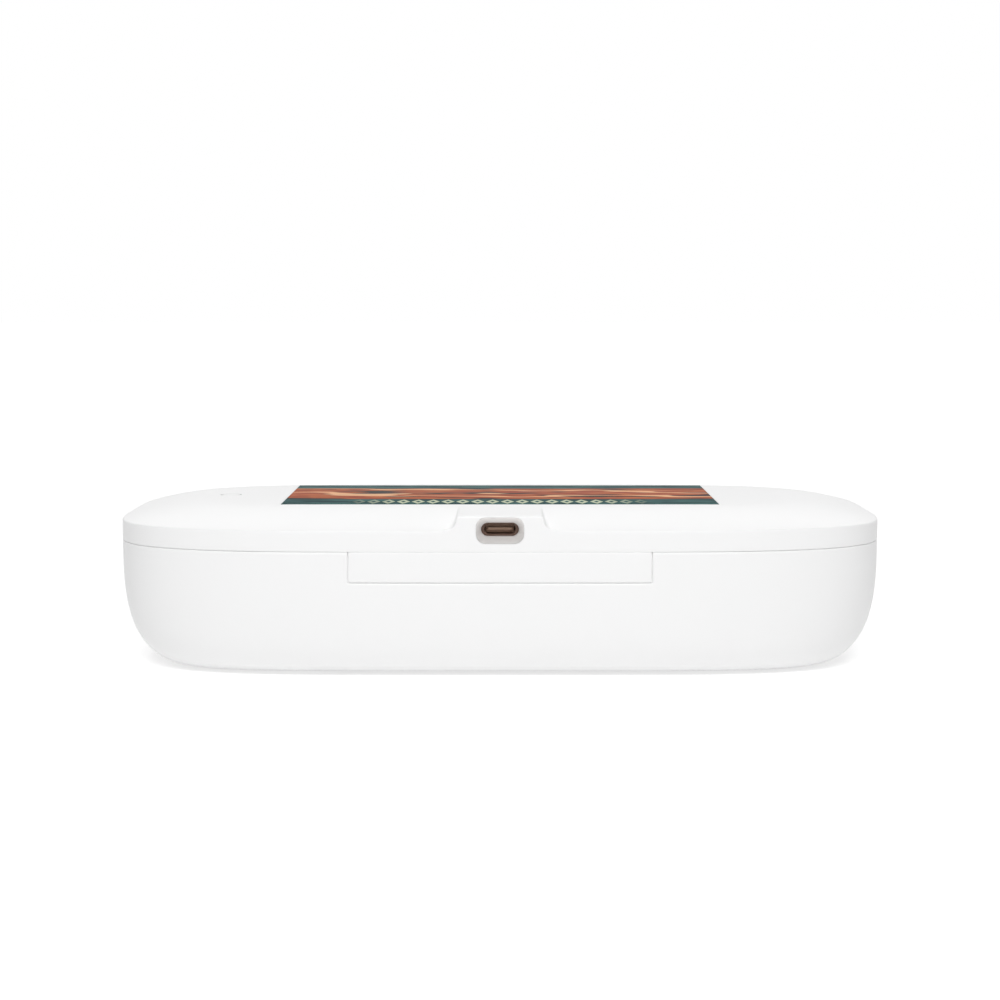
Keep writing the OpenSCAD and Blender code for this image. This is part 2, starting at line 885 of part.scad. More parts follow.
module usb_c_tongue() {
  color([0.3, 0.24, 0.21])
    block(
      [-tongue_w / 2, usb_mouth - usb_length + 0.8, port_z - tongue_t / 2],
      [tongue_w / 2, usb_mouth - 0.8, port_z + tongue_t / 2]
    );
}

module usb_c_contacts() {
  color([0.75, 0.6, 0.45])
    for (i = [0 : contact_count - 1])
      translate([(i - (contact_count - 1) / 2) * contact_pitch, usb_mouth - 3.5, port_z + tongue_t / 2])
        translate([0, 0, contact_t / 2])
          cube([contact_w, contact_l, contact_t], center = true);
}

module key_board() {
  color(board_green)
    difference() {
      block([key_x[0], key_y[0], uv_board_z], [key_x[1], key_y[1], uv_board_z + board_t]);
      for (at = key_screw_at)
        upright_bore(at, 1.1, uv_board_z - 1, 3);
    }
}

module tact_switch() {
  color([0.2, 0.2, 0.21])
    difference() {
      translate([button_x, button_y, uv_board_z + board_t + switch_h / 2])
        cube([switch_size, switch_size, switch_h], center = true);
      upright_bore([button_x, button_y], plunger_r + 0.1, uv_board_z + board_t + switch_base / 2, 5);
    }
}

module lid_sensor() {
  color([0.15, 0.15, 0.16])
    block([93, 1, uv_board_z - 1.1], [96, 4.5, uv_board_z]);
}

module coil_leads() {
  color([0.7, 0.35, 0.2])
    for (dx = [-1, 1])
      lead([
        [dx * 1.2, coil_r + 0.1, 42], [dx * 1.2, 22, 41.8], [dx * 1.1, 23.2, 41], [dx, lead_end_y, 40.3]
      ]);
}

module uv_leads() {
  color([0.8, 0.1, 0.1])
    for (sx = [-1, 1], k = [0, 1])
      lead([
        [sx * (26 + 1.6 * k), 3, 40.6], [sx * (25.8 + 1.6 * k), 6, 40.2], [sx * (25 + 1.6 * k), 12, 39.4],
        [sx * (22 + 1.6 * k), 18 + k, 39.2], [sx * (17 + 1.1 * k), 22.2 + 0.3 * k, 39.8],
        [sx * (15.4 + 1.2 * k), lead_end_y, 40.3]
      ]);
}

module key_leads() {
  color([0.9, 0.9, 0.2])
    for (k = [-1 : 1])
      lead([
        [key_x[0] - 0.2, 4 + 1.3 * k, 39.5], [66, 7.5 + 1.3 * k, 38.8], [56, 12 + 1.3 * k, 38.4],
        [42, 20 + 1.3 * k, 38.5], [30, 29.5 + 1.3 * k, 39.6], [main_half_x - 0.25, 32.5 + 1.3 * k, 40.4]
      ]);
}

// ---------- button ----------

module power_button() {
  color(casing_white)
    translate([button_x, button_y, 0]) {
      translate([0, 0, flange_z])
        cylinder(r = flange_r, h = flange_h, $fn = 48);
      translate([0, 0, flange_z + flange_h])
        rotate_extrude($fn = 64)
          polygon([
            [0, -0.2], [button_r, -0.2], [button_r, box_height - flange_z - flange_h - 0.25],
            [button_r - 0.25, box_height - flange_z - flange_h], [0, box_height - flange_z - flange_h]
          ]);
      translate([0, 0, stem_z])
        cylinder(r = 1.2, h = flange_z - stem_z + 0.1, $fn = 32);
    }
}

module switch_plunger() {
  color([0.9, 0.4, 0.1])
    upright_bore([button_x, button_y], plunger_r, plunger_z, stem_z - plunger_z);
}

base_shell();
inner_tray();
tray_reflector();
phone_rests();
base_screws();
base_magnets();
foot_front_left();
foot_front_right();
foot_rear_left();
foot_rear_right();
hinge_bracket();
hinge_pin();
hinge_cover();
bracket_screws();
hinge_arm_left();
hinge_arm_right();
arm_screws();
lid_cover();
print_panel();
port_bezel();
lid_liner();
liner_screws();
lid_reflector();
lid_magnets();
charging_coil();
ferrite_plate();
uv_board_left();
uv_board_right();
uv_leds();
uv_window_left();
uv_window_right();
board_screws();
main_board();
driver_chips();
capacitors();
power_inductors();
wire_connectors();
usb_c_shell();
usb_c_tongue();
usb_c_contacts();
key_board();
tact_switch();
lid_sensor();
coil_leads();
uv_leads();
key_leads();
power_button();
switch_plunger();
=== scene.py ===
import json
import math
import bmesh
import bpy
from mathutils import Matrix, Vector


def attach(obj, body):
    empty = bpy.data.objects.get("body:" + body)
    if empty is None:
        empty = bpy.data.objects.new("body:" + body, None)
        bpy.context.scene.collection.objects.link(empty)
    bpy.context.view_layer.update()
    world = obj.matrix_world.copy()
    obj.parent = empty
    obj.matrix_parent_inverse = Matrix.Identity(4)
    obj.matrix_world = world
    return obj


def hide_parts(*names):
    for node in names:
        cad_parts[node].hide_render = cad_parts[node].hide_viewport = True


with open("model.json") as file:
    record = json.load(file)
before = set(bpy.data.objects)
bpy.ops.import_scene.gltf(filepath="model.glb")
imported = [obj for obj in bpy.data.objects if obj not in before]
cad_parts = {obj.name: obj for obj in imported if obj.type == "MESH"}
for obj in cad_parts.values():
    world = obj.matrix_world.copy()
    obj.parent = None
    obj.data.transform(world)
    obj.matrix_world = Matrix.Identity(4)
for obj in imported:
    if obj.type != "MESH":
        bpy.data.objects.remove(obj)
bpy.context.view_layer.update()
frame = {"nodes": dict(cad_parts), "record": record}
mm = 0.001
print("frame loaded:", len(frame["nodes"]), "nodes")


# Nodes as expressions.

def operator(operation, swapped=False):
    def apply(self, other):
        return self.math(operation, other, self) if swapped else self.math(operation, self, other)
    return apply


class Wire:  # an output socket that works in Python expressions, one Math node for each operator
    __add__, __radd__ = operator("ADD"), operator("ADD", True)
    __sub__, __rsub__ = operator("SUBTRACT"), operator("SUBTRACT", True)
    __mul__, __rmul__ = operator("MULTIPLY"), operator("MULTIPLY", True)
    __truediv__, __rtruediv__ = operator("DIVIDE"), operator("DIVIDE", True)
    __pow__, __lt__, __gt__ = operator("POWER"), operator("LESS_THAN"), operator("GREATER_THAN")

    def __init__(self, graph, socket):
        self.graph, self.socket = graph, socket

    def __abs__(self):
        return self.math("ABSOLUTE", self)

    def math(self, operation, *values):
        return self.graph.add("ShaderNodeMath", {"operation": operation}, dict(enumerate(values)))

    def other(self, name):
        return Wire(self.graph, self.socket.node.outputs[name])


class Graph:  # a node tree, shader or geometry, with one method that makes any node
    def __init__(self, tree):
        self.tree = tree

    def add(self, kind, settings=None, sockets=None, out=0):
        made = self.tree.nodes.new(kind)
        for name, value in (settings or {}).items():
            setattr(made, name, value)
        for name, value in (sockets or {}).items():
            if isinstance(value, Wire):
                self.tree.links.new(value.socket, made.inputs[name])
            else:
                made.inputs[name].default_value = value
        return Wire(self, made.outputs[out]) if made.outputs else None


def emptyNodes(holder):  # the graph of a new world or material, with nothing in it
    holder.use_nodes = True
    holder.node_tree.nodes.clear()
    return Graph(holder.node_tree)


def startMaterial(name):
    made = bpy.data.materials.new(name)
    return made, emptyNodes(made)


def endMaterial(g, surface):
    g.add("ShaderNodeOutputMaterial", {}, {"Surface": surface})


# Camera and light.

# Behind the box, looking down a little.
camera = dict(lens=75, sensor=36, back=606.8, height=104.5, tilt=5.754, clip=(0.01, 100))
eye = bpy.data.objects.new("camera", bpy.data.cameras.new("camera"))
bpy.context.scene.collection.objects.link(eye)
eye.data.lens = camera["lens"]
eye.data.sensor_width = camera["sensor"]
eye.location = (0, camera["back"] * mm, camera["height"] * mm)
eye.rotation_euler = (math.radians(90 - camera["tilt"]), 0, math.radians(180))
eye.data.clip_start, eye.data.clip_end = camera["clip"]
bpy.context.scene.camera = eye
bpy.context.scene.view_settings.view_transform = "Standard"

studio = dict(
    world=0.26, seen=1.0,
    floorColour=0.86, floorGlow=0.254, floorShown=(0.18, 0.75), floorFades=(0.35, 1.1), floorHalf=6.0,
    lamps=[  # name, place, aim, size, watts
        ("overheadSoftbox", (0, 0.1, 1.0), (0, 0, 0), (1.2, 0.8), 1.88),
        ("rearSoftbox", (0, 1.0, 1.0), (0, 0, 0.03), (1.0, 0.6), 11.17),
        ("frontSoftbox", (0, -1.0, 0.65), (0, 0, 0.03), (1.4, 0.5), 1.92),
    ],
)


def buildStudio(s):
    world = bpy.data.worlds.new("studio")
    bpy.context.scene.world = world
    g = emptyNodes(world)
    path = g.add("ShaderNodeLightPath", out="Is Camera Ray")
    shown = path.math("MAXIMUM", path, path.other("Is Glossy Ray"))
    shown = path.math("MAXIMUM", shown, path.other("Is Transmission Ray"))
    light = g.add("ShaderNodeBackground", {}, {"Color": (1, 1, 1, 1), "Strength": s["world"]})
    white = g.add("ShaderNodeBackground", {}, {"Color": (1, 1, 1, 1), "Strength": s["seen"]})
    mixed = g.add("ShaderNodeMixShader", {}, {0: shown, 1: light, 2: white})
    g.add("ShaderNodeOutputWorld", {}, {"Surface": mixed})

    floorMaterial, g = startMaterial("studioFloor")
    grey = s["floorColour"]
    matte = g.add("ShaderNodeBsdfDiffuse", {}, {"Color": (grey, grey, grey, 1)})
    path = g.add("ShaderNodeLightPath", out="Is Camera Ray")
    spot = g.add("ShaderNodeTexCoord", out="Object")
    far = g.add("ShaderNodeVectorMath", {"operation": "LENGTH"}, {0: spot}, out="Value")
    shown = g.add("ShaderNodeMapRange", {}, {
        "Value": far, "From Min": s["floorFades"][0], "From Max": s["floorFades"][1],
        "To Min": s["floorShown"][0], "To Max": s["floorShown"][1],
    })
    glow = s["floorGlow"] + path * shown
    lift = g.add("ShaderNodeEmission", {}, {"Color": (1, 1, 1, 1), "Strength": glow})
    both = g.add("ShaderNodeAddShader", {}, {0: matte, 1: lift})
    endMaterial(g, both)
    half = s["floorHalf"]
    mesh = bpy.data.meshes.new("studioFloor")
    corners = [(-half, -half, 0), (half, -half, 0), (half, half, 0), (-half, half, 0)]
    mesh.from_pydata(corners, [], [(0, 1, 2, 3)])
    mesh.materials.append(floorMaterial)
    ground = bpy.data.objects.new("studioFloor", mesh)
    bpy.context.scene.collection.objects.link(ground)

    for name, place, aim, size, watts in s["lamps"]:
        data = bpy.data.lights.new(name, "AREA")
        data.shape = "RECTANGLE"
        data.size, data.size_y = size
        data.energy = watts
        lamp = bpy.data.objects.new(name, data)
        lamp.location = place
        lamp.rotation_euler = (Vector(aim) - Vector(place)).to_track_quat("-Z", "Y").to_euler()
        bpy.context.scene.collection.objects.link(lamp)
    print("studio built:", len(s["lamps"]), "lamps")


buildStudio(studio)


# Materials.

def mixColours(g, factor, low, high):
    node = g.add("ShaderNodeMix", {"data_type": "RGBA"}, {"Factor": factor}, out=2).socket.node
    for socket, value in ((node.inputs[6], low), (node.inputs[7], high)):
        if isinstance(value, Wire):
            g.tree.links.new(value.socket, socket)
        else:
            socket.default_value = (*value, 1)
    return Wire(g, node.outputs[2])


def noise(g, scale, detail=2.0):
    place = g.add("ShaderNodeTexCoord", out="Object")
    return g.add("ShaderNodeTexNoise", {}, {"Vector": place, "Scale": scale, "Detail": detail})


def ramp(g, value, low, high):  # 0 at low, 1 at high, straight between them
    return g.add("ShaderNodeMapRange", {}, {"Value": value, "From Min": low, "From Max": high})


def relief(g, strength, depth, height):
    return g.add("ShaderNodeBump", {}, {"Strength": strength, "Distance": depth * mm, "Height": height})


def tone(red, green, blue):  # a colour named by its display values, from 0 to 255
    return [((v / 255 + 0.055) / 1.055) ** 2.4 for v in (red, green, blue)]


plainBase = dict(  # what a plain finish has unless it says otherwise; scales are repeats a metre
    shift=0.02, cloudScale=60, cloudDetail=3.0, grainScale=2600, roughScale=140, bump=0.15, bumpDepth=0.01,
    metallic=0.0, ior=1.46, clear=0.0, coat=0.0, coatRoughness=0.1,
)


# A moulded, painted or plated finish: colour, roughness and fine relief all vary over the surface.
def plainFinish(name, own):
    f = plainBase | own
    made, g = startMaterial(name)
    cloud = noise(g, f["cloudScale"], f["cloudDetail"])
    grain = noise(g, f["grainScale"])
    colour = mixColours(g, cloud, f["colour"], [c * (1 - f["shift"]) for c in f["colour"]])
    if "paintedShade" in f:  # painted shade: the colour darkens towards the bottom of a recess, between two heights
        place = g.add("ShaderNodeSeparateXYZ", {}, {0: g.add("ShaderNodeTexCoord", out="Object")}).other("Z")
        bottom, top, share = f["paintedShade"]
        depth = ramp(g, place, top * mm, bottom * mm)
        colour = mixColours(g, depth, colour, [c * share for c in f["colour"]])
    low, high = f["rough"]
    roughness = low + (high - low) * noise(g, f["roughScale"])
    shader = g.add("ShaderNodeBsdfPrincipled", {}, {
        "Base Color": colour, "Roughness": roughness, "Normal": relief(g, f["bump"], f["bumpDepth"], grain),
        "Metallic": f["metallic"], "IOR": f["ior"], "Transmission Weight": f["clear"],
        "Coat Weight": f["coat"], "Coat Roughness": f["coatRoughness"],
    })
    endMaterial(g, shader)
    return made


finishes = dict(
    casing=dict(colour=(0.89, 0.89, 0.89), shift=0.01, rough=(0.3, 0.36), bump=0.06, grainScale=3200),
    liner=dict(colour=(0.8, 0.8, 0.81), shift=0.03, rough=(0.5, 0.62), bump=0.35, grainScale=1800),
    reflector=dict(colour=(0.7, 0.71, 0.73), shift=0.08, rough=(0.2, 0.32), metallic=1.0, bump=0.1),
    clear_rest=dict(colour=(0.95, 0.98, 0.99), rough=(0.03, 0.08), clear=0.95, ior=1.49, bump=0.03),
    steel=dict(colour=(0.66, 0.67, 0.69), shift=0.08, rough=(0.2, 0.32), metallic=1.0, bump=0.1),
    magnet=dict(colour=(0.7, 0.7, 0.69), shift=0.06, rough=(0.14, 0.24), metallic=1.0, bump=0.08),
    foot_rubber=dict(colour=(0.035, 0.035, 0.037), shift=0.25, rough=(0.7, 0.85), bump=0.5, grainScale=1500),
    hinge_steel=dict(colour=(0.52, 0.53, 0.55), shift=0.12, rough=(0.32, 0.46), metallic=1.0, bump=0.2),
    # the bezel ring's colour carries painted shade that darkens its lower part
    bezel=dict(
        colour=tone(246, 243, 241), paintedShade=(38.6, 43.6, 0.66), rough=(0.42, 0.52), bump=0.2, grainScale=2200,
    ),
    copper=dict(colour=tone(196, 108, 62), shift=0.2, rough=(0.24, 0.38), metallic=0.9, coat=0.6),
    ferrite=dict(colour=(0.022, 0.022, 0.025), shift=0.3, rough=(0.5, 0.7), bump=0.5, grainScale=1200),
    lamp_board=dict(colour=(0.78, 0.78, 0.77), shift=0.04, rough=(0.34, 0.46), bump=0.1),
    lamp=dict(colour=tone(226, 218, 190), shift=0.06, rough=(0.2, 0.34), coat=0.3),
    quartz=dict(colour=(0.97, 0.98, 1.0), shift=0.01, rough=(0.01, 0.04), clear=1.0, bump=0.02),
    chip=dict(colour=(0.013, 0.013, 0.014), shift=0.3, rough=(0.42, 0.56), bump=0.4),
    capacitor=dict(colour=(0.62, 0.63, 0.66), shift=0.08, rough=(0.24, 0.36), metallic=1.0),
    connector=dict(colour=tone(228, 220, 196), shift=0.05, rough=(0.4, 0.52)),
    socket_shell=dict(colour=tone(106, 82, 70), shift=0.2, rough=(0.36, 0.5), metallic=0.25, bump=0.2),
    socket_core=dict(colour=tone(186, 152, 130), shift=0.15, rough=(0.5, 0.62), bump=0.25),
    contact=dict(colour=tone(160, 134, 114), shift=0.1, rough=(0.3, 0.42), metallic=0.3),
    wire=dict(colour=tone(176, 42, 34), shift=0.1, rough=(0.36, 0.5), bump=0.2),
    plunger=dict(colour=tone(214, 120, 44), shift=0.06, rough=(0.4, 0.5)),
)
materials = {name: plainFinish(name, f) for name, f in finishes.items()}


# The printed panel: a generic wave pattern in rust, charcoal and cream between two teal bands, with a row of
# diamonds in the rear one. Each noise has a scale, detail and roughness, and is drawn out along the panel.
panelPrint = dict(
    rust=tone(146, 64, 42), orange=tone(188, 108, 68), charcoal=tone(52, 46, 44), cream=tone(244, 190, 146),
    teal=tone(58, 96, 94), tealDark=tone(36, 62, 64), bead=tone(196, 204, 176),
    stretchX=0.011, stretchY=0.036, drift=(2.2, 2.0, 0.5), fine=(6.0, 3.0, 0.6), patch=(3.4, 2.0, 0.5),
    orangeFrom=0.38, orangeFull=0.62, patchFine=0.2, charcoalFrom=0.62, charcoalFull=0.7,
    waveY=0.36, waveX=0.03, waveDrift=13.0, creamFrom=0.78, creamFull=0.95, creamShare=0.9,
    bandFrom=13.0, bandEdge=0.8, farFrom=-19.0, farEdge=1.2, farDrift=6.0, tealFrom=0.4, tealFull=0.6,
    beadPitch=4.2, beadLow=14.5, beadHigh=27.0,
    beadOuter=(0.96, 0.84), beadInner=(0.3, 0.42), beadFade=(43, 28),
    bump=0.1, bumpDepth=0.01, rough=0.5, roughFine=0.12, specular=0.03,
)


def printFinish(p):
    made, g = startMaterial("print")
    spot = g.add("ShaderNodeTexCoord", out="Object")
    place = g.add("ShaderNodeSeparateXYZ", {}, {0: spot})
    x, y = place / mm, place.other("Y") / mm
    stretched = g.add("ShaderNodeCombineXYZ", {}, {0: x * p["stretchX"], 1: y * p["stretchY"], 2: 0.0})
    drift, fine, patch = (
        g.add("ShaderNodeTexNoise", {}, {
            "Vector": stretched, "Scale": scale, "Detail": detail, "Roughness": rough,
        }) for scale, detail, rough in (p["drift"], p["fine"], p["patch"])
    )
    phase = y * p["waveY"] + x * p["waveX"] + drift * p["waveDrift"]
    wave = phase.math("SINE", phase)
    ground = mixColours(g, ramp(g, fine, p["orangeFrom"], p["orangeFull"]), p["rust"], p["orange"])
    dark = ramp(g, patch + fine * p["patchFine"], p["charcoalFrom"], p["charcoalFull"])
    ground = mixColours(g, dark, ground, p["charcoal"])
    pale = ramp(g, wave, p["creamFrom"], p["creamFull"]) * p["creamShare"]
    ground = mixColours(g, pale, ground, p["cream"])
    uneven = y + drift * p["farDrift"] - p["farDrift"] / 2
    band = ramp(g, y, p["bandFrom"], p["bandFrom"] + p["bandEdge"])
    far = ramp(g, uneven, p["farFrom"] + p["farEdge"], p["farFrom"])
    teal = mixColours(g, ramp(g, fine, p["tealFrom"], p["tealFull"]), p["teal"], p["tealDark"])
    ground = mixColours(g, band.math("MAXIMUM", band, far), ground, teal)
    repeat = x / p["beadPitch"]
    across = abs(repeat.math("FRACT", repeat) - 0.5) * 2.0
    middle, reach = (p["beadLow"] + p["beadHigh"]) / 2, (p["beadHigh"] - p["beadLow"]) / 2
    spread = across + abs(y - middle) / reach  # 1 on the edge of a diamond, 0 in its middle
    shown = ramp(g, spread, *p["beadOuter"]) * ramp(g, spread, *p["beadInner"])
    shown = shown * ramp(g, abs(x), *p["beadFade"])
    colour = mixColours(g, shown, ground, p["bead"])
    shader = g.add("ShaderNodeBsdfPrincipled", {}, {
        "Base Color": colour, "Roughness": p["rough"] + p["roughFine"] * fine,
        "Normal": relief(g, p["bump"], p["bumpDepth"], fine), "Specular IOR Level": p["specular"],
    })
    endMaterial(g, shader)
    return made


# A circuit board: solder mask over straight tracks and small pads.
boardMask = dict(
    mask=tone(16, 92, 58), track=tone(34, 128, 84), pad=tone(206, 186, 140), pitch=1.27,
    trackLength=4.0, trackGap=0.12, trackSoft=0.1, padScale=0.4, padSpread=0.6, padFrom=0.16, padFull=0.13,
    cloudScale=300, bump=0.4, bumpDepth=0.03, rough=0.26, roughCloud=0.14, padMetal=0.8,
)


def boardFinish(b):
    made, g = startMaterial("board")
    spot = g.add("ShaderNodeTexCoord", out="Object")
    grid = g.add("ShaderNodeTexBrick", {"offset": 0.5, "squash": 1.0}, {
        "Vector": spot, "Scale": 1 / (b["pitch"] * mm), "Mortar Size": b["trackGap"],
        "Mortar Smooth": b["trackSoft"], "Bias": 0.0, "Brick Width": b["trackLength"], "Row Height": 1.0,
    }, out="Fac")
    dots = g.add("ShaderNodeTexVoronoi", {"feature": "F1"}, {
        "Vector": spot, "Scale": b["padScale"] / (b["pitch"] * mm), "Randomness": b["padSpread"],
    })
    cloud = noise(g, b["cloudScale"])
    colour = mixColours(g, grid, b["mask"], b["track"])
    pads = ramp(g, dots, b["padFrom"], b["padFull"])
    colour = mixColours(g, pads, colour, b["pad"])
    shader = g.add("ShaderNodeBsdfPrincipled", {}, {
        "Base Color": colour, "Roughness": b["rough"] + b["roughCloud"] * cloud,
        "Metallic": pads * b["padMetal"], "Normal": relief(g, b["bump"], b["bumpDepth"], grid + pads),
    })
    endMaterial(g, shader)
    return made


materials["print"] = printFinish(panelPrint)
materials["board"] = boardFinish(boardMask)
print("materials built:", len(materials))


# Mesh helpers.

mergeGap, weldGap = 0.0004, 0.002  # in millimetres: corners of a new skin, and of a CAD mesh, that are one


def quarterTurn(steps):
    return [math.pi / 2 * k / steps for k in range(steps + 1)]


def eased(part):
    return part * part * (3 - 2 * part)


def lowRound(z, radius):  # the inset and height along a rounded lower edge, from its level end up
    return [(radius * (1 - math.sin(t)), z + radius * (1 - math.cos(t))) for t in quarterTurn(4)]


def highRound(z, radius):  # the same along a rounded upper edge, from its upright end up
    return [(radius * (1 - math.cos(t)), z - radius * (1 - math.sin(t))) for t in quarterTurn(4)]


def addObject(name, mesh):
    made = bpy.data.objects.new(name, mesh)
    bpy.context.scene.collection.objects.link(made)
    return made


def meshFrom(name, points, faces):
    mesh = bpy.data.meshes.new(name)
    mesh.from_pydata([tuple(c * mm for c in p) for p in points], [], faces)
    return mesh


# Skins rings of equal length, given from outside to inside or from bottom to top, in millimetres.
def skinRings(name, rings, closed=False):
    count = len(rings[0])
    points = [p for ring in rings for p in ring]
    faces = []
    for i in range(len(rings) if closed else len(rings) - 1):
        low, high = i * count, (i + 1) % len(rings) * count
        for k in range(count):
            following = (k + 1) % count
            faces.append((low + k, low + following, high + following, high + k))
    mesh = meshFrom(name, points, faces)
    tidyMesh(mesh)
    return addObject(name, mesh)


def slotRing(width, height, radius, y, z, steps=8):  # a rounded rectangle standing across the box
    ring = []
    for corner, (sideX, sideZ) in enumerate(((1, 1), (-1, 1), (-1, -1), (1, -1))):
        for k in range(steps + 1):
            angle = (corner + k / steps) * math.pi / 2
            ring.append((
                sideX * (width / 2 - radius) + radius * math.cos(angle), y,
                z + sideZ * (height / 2 - radius) + radius * math.sin(angle),
            ))
    return ring


def solidFromRings(name, rings):  # an open stack of rings, closed by a face at either end
    count = len(rings[0])
    obj = skinRings(name, rings)
    work = bmesh.new()
    work.from_mesh(obj.data)
    bmesh.ops.holes_fill(work, edges=[e for e in work.edges if e.is_boundary], sides=count)
    bmesh.ops.recalc_face_normals(work, faces=work.faces)
    work.to_mesh(obj.data)
    work.free()
    return obj


def tidyMesh(mesh):
    work = bmesh.new()
    work.from_mesh(mesh)
    bmesh.ops.remove_doubles(work, verts=work.verts, dist=mergeGap * mm)
    bmesh.ops.dissolve_degenerate(work, edges=work.edges, dist=mergeGap * mm)
    bmesh.ops.recalc_face_normals(work, faces=work.faces)
    work.to_mesh(mesh)
    work.free()


def applyModifiers(obj):
    graph = bpy.context.evaluated_depsgraph_get()
    graph.update()
    done = bpy.data.meshes.new_from_object(obj.evaluated_get(graph), depsgraph=graph)
    obj.modifiers.clear()
    old, obj.data = obj.data, done
    done.name = obj.name
    bpy.data.meshes.remove(old)
    return obj


def carve(obj, cutters, operation="DIFFERENCE"):
    for cutter in cutters:
        step = obj.modifiers.new("carve", "BOOLEAN")
        step.operation = operation
        step.solver = "MANIFOLD"
        step.object = cutter
    applyModifiers(obj)
    for cutter in cutters:
        bpy.data.objects.remove(cutter)
    return obj


def finishPiece(obj, body, slot, replaced, angle=35):
    mesh = obj.data
    mesh.materials.clear()
    mesh.materials.append(materials[slot])
    for face in mesh.polygons:
        face.use_smooth = True
        face.material_index = 0
    mesh.set_sharp_from_angle(angle=math.radians(angle))
    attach(obj, body)
    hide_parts(*replaced)
    return obj


def boxMesh(name, low, high):
    work = bmesh.new()
    bmesh.ops.create_cube(work, size=1)
    size = Vector(high) - Vector(low)
    middle = (Vector(high) + Vector(low)) / 2
    work.transform(Matrix.Translation(middle * mm) @ Matrix.Diagonal((*(size * mm), 1)))
    mesh = bpy.data.meshes.new(name)
    work.to_mesh(mesh)
    work.free()
    return addObject(name, mesh)


def columnMesh(name, x, y, radius, low, high, sides=48):  # an upright cylinder
    turns = [2 * math.pi * k / sides for k in range(sides)]
    points = [(x + radius * math.cos(t), y + radius * math.sin(t), z) for z in (low, high) for t in turns]
    faces = [(k, (k + 1) % sides, sides + (k + 1) % sides, sides + k) for k in range(sides)]
    faces += [tuple(range(sides - 1, -1, -1)), tuple(range(sides, 2 * sides))]
    return addObject(name, meshFrom(name, points, faces))


def islands(node):  # the loose parts of a CAD node: the lowest and highest corner of each, in millimetres
    work = bmesh.new()
    work.from_mesh(frame["nodes"][node].data)
    bmesh.ops.remove_doubles(work, verts=work.verts, dist=weldGap * mm)
    left = set(work.verts)
    found = []
    while left:
        waiting, part = [left.pop()], []
        while waiting:
            vertex = waiting.pop()
            part.append(vertex.co / mm)
            for edge in vertex.link_edges:
                other = edge.other_vert(vertex)
                if other in left:
                    left.remove(other)
                    waiting.append(other)
        found.append(tuple(Vector(pick(p[i] for p in part) for i in range(3)) for pick in (min, max)))
    work.free()
    return sorted(found, key=lambda pair: (round(pair[0].x, 2), pair[0].y))


def middles(*nodes):
    return [(low + high) / 2 for node in nodes for low, high in islands(node)]


def feet(node):  # where each loose part of a node stands
    return [((low.x + high.x) / 2, (low.y + high.y) / 2, low.z) for low, high in islands(node)]


def softenEdges(obj, width, angle=30, segments=2):
    edge = obj.modifiers.new("edge", "BEVEL")
    edge.width = width * mm
    edge.segments = segments
    edge.limit_method = "ANGLE"
    edge.angle_limit = math.radians(angle)
    return applyModifiers(obj)


def refined(name, node, width):  # a copy of a CAD node with flat faces rejoined and edges rounded
    obj = addObject(name, frame["nodes"][node].data.copy())
    work = bmesh.new()
    work.from_mesh(obj.data)
    bmesh.ops.remove_doubles(work, verts=work.verts, dist=weldGap * mm)
    bmesh.ops.dissolve_limit(work, angle_limit=math.radians(0.5), verts=work.verts, edges=work.edges)
    work.to_mesh(obj.data)
    work.free()
    return softenEdges(obj, width)


# Turns a profile of radius and height about an upright axis.
def turned(name, profile, at=(0.0, 0.0), sides=48):
    turns = [2 * math.pi * k / sides for k in range(sides)]
    x, y = at
    return skinRings(name, [
        [(x + radius * math.cos(t), y + radius * math.sin(t), z) for t in turns] for radius, z in profile
    ])


# What the Geometry Nodes trees share.

def startTree(name, inputs):  # inputs: the names of the sockets, by their kind
    tree = bpy.data.node_groups.new(name, "GeometryNodeTree")
    for kind, names in inputs.items():
        for socket in names:
            tree.interface.new_socket(socket, in_out="INPUT", socket_type="NodeSocket" + kind)
    tree.interface.new_socket("Geometry", in_out="OUTPUT", socket_type="NodeSocketGeometry")
    g = Graph(tree)
    given = g.add("NodeGroupInput").socket.node
    return g, {socket.name: Wire(g, socket) for socket in given.outputs if socket.name}


def endTree(g, shape, finish):  # real geometry that has its material
    real = g.add("GeometryNodeRealizeInstances", {}, {"Geometry": shape})
    coated = g.add("GeometryNodeSetMaterial", {}, {"Geometry": real, "Material": finish})
    g.add("NodeGroupOutput", {}, {"Geometry": coated})
    return g.tree


def sweep(g, path, sides, radius):  # a round wire along a curve
    section = g.add("GeometryNodeCurvePrimitiveCircle", {}, {"Resolution": sides, "Radius": radius})
    return g.add("GeometryNodeCurveToMesh", {}, {"Curve": path, "Profile Curve": section, "Fill Caps": True})


def runTree(name, tree, values):  # an object whose mesh the tree makes, from values for its inputs
    obj = addObject(name, bpy.data.meshes.new(name))
    step = obj.modifiers.new("tree", "NODES")
    step.node_group = tree
    for item in tree.interface.items_tree:
        if item.in_out == "INPUT" and item.name in values:
            step[item.identifier] = values[item.name]
    return obj


def repeatTree():  # copies one piece to every vertex of the object that carries the tree
    g, v = startTree("repeatPiece", {"Geometry": ("Places",), "Object": ("Piece",), "Material": ("Finish",)})
    piece = g.add("GeometryNodeObjectInfo", {}, {"Object": v["Piece"]}, out="Geometry")
    placed = g.add("GeometryNodeInstanceOnPoints", {}, {"Points": v["Places"], "Instance": piece})
    return endTree(g, placed, v["Finish"])


repeater = repeatTree()


def repeatAt(name, piece, places, slot):
    obj = runTree(name, repeater, {"Piece": piece, "Finish": materials[slot]})
    obj.data.from_pydata([tuple(c * mm for c in place) for place in places], [], [])
    applyModifiers(obj)
    bpy.data.objects.remove(piece)
    return obj


# The outline that both casings share.

outline = dict(halfLength=107.0, halfDepth=58.5, squareness=3.92, columns=320)


def signedPower(value, exponent):
    return math.copysign(abs(value) ** exponent, value)


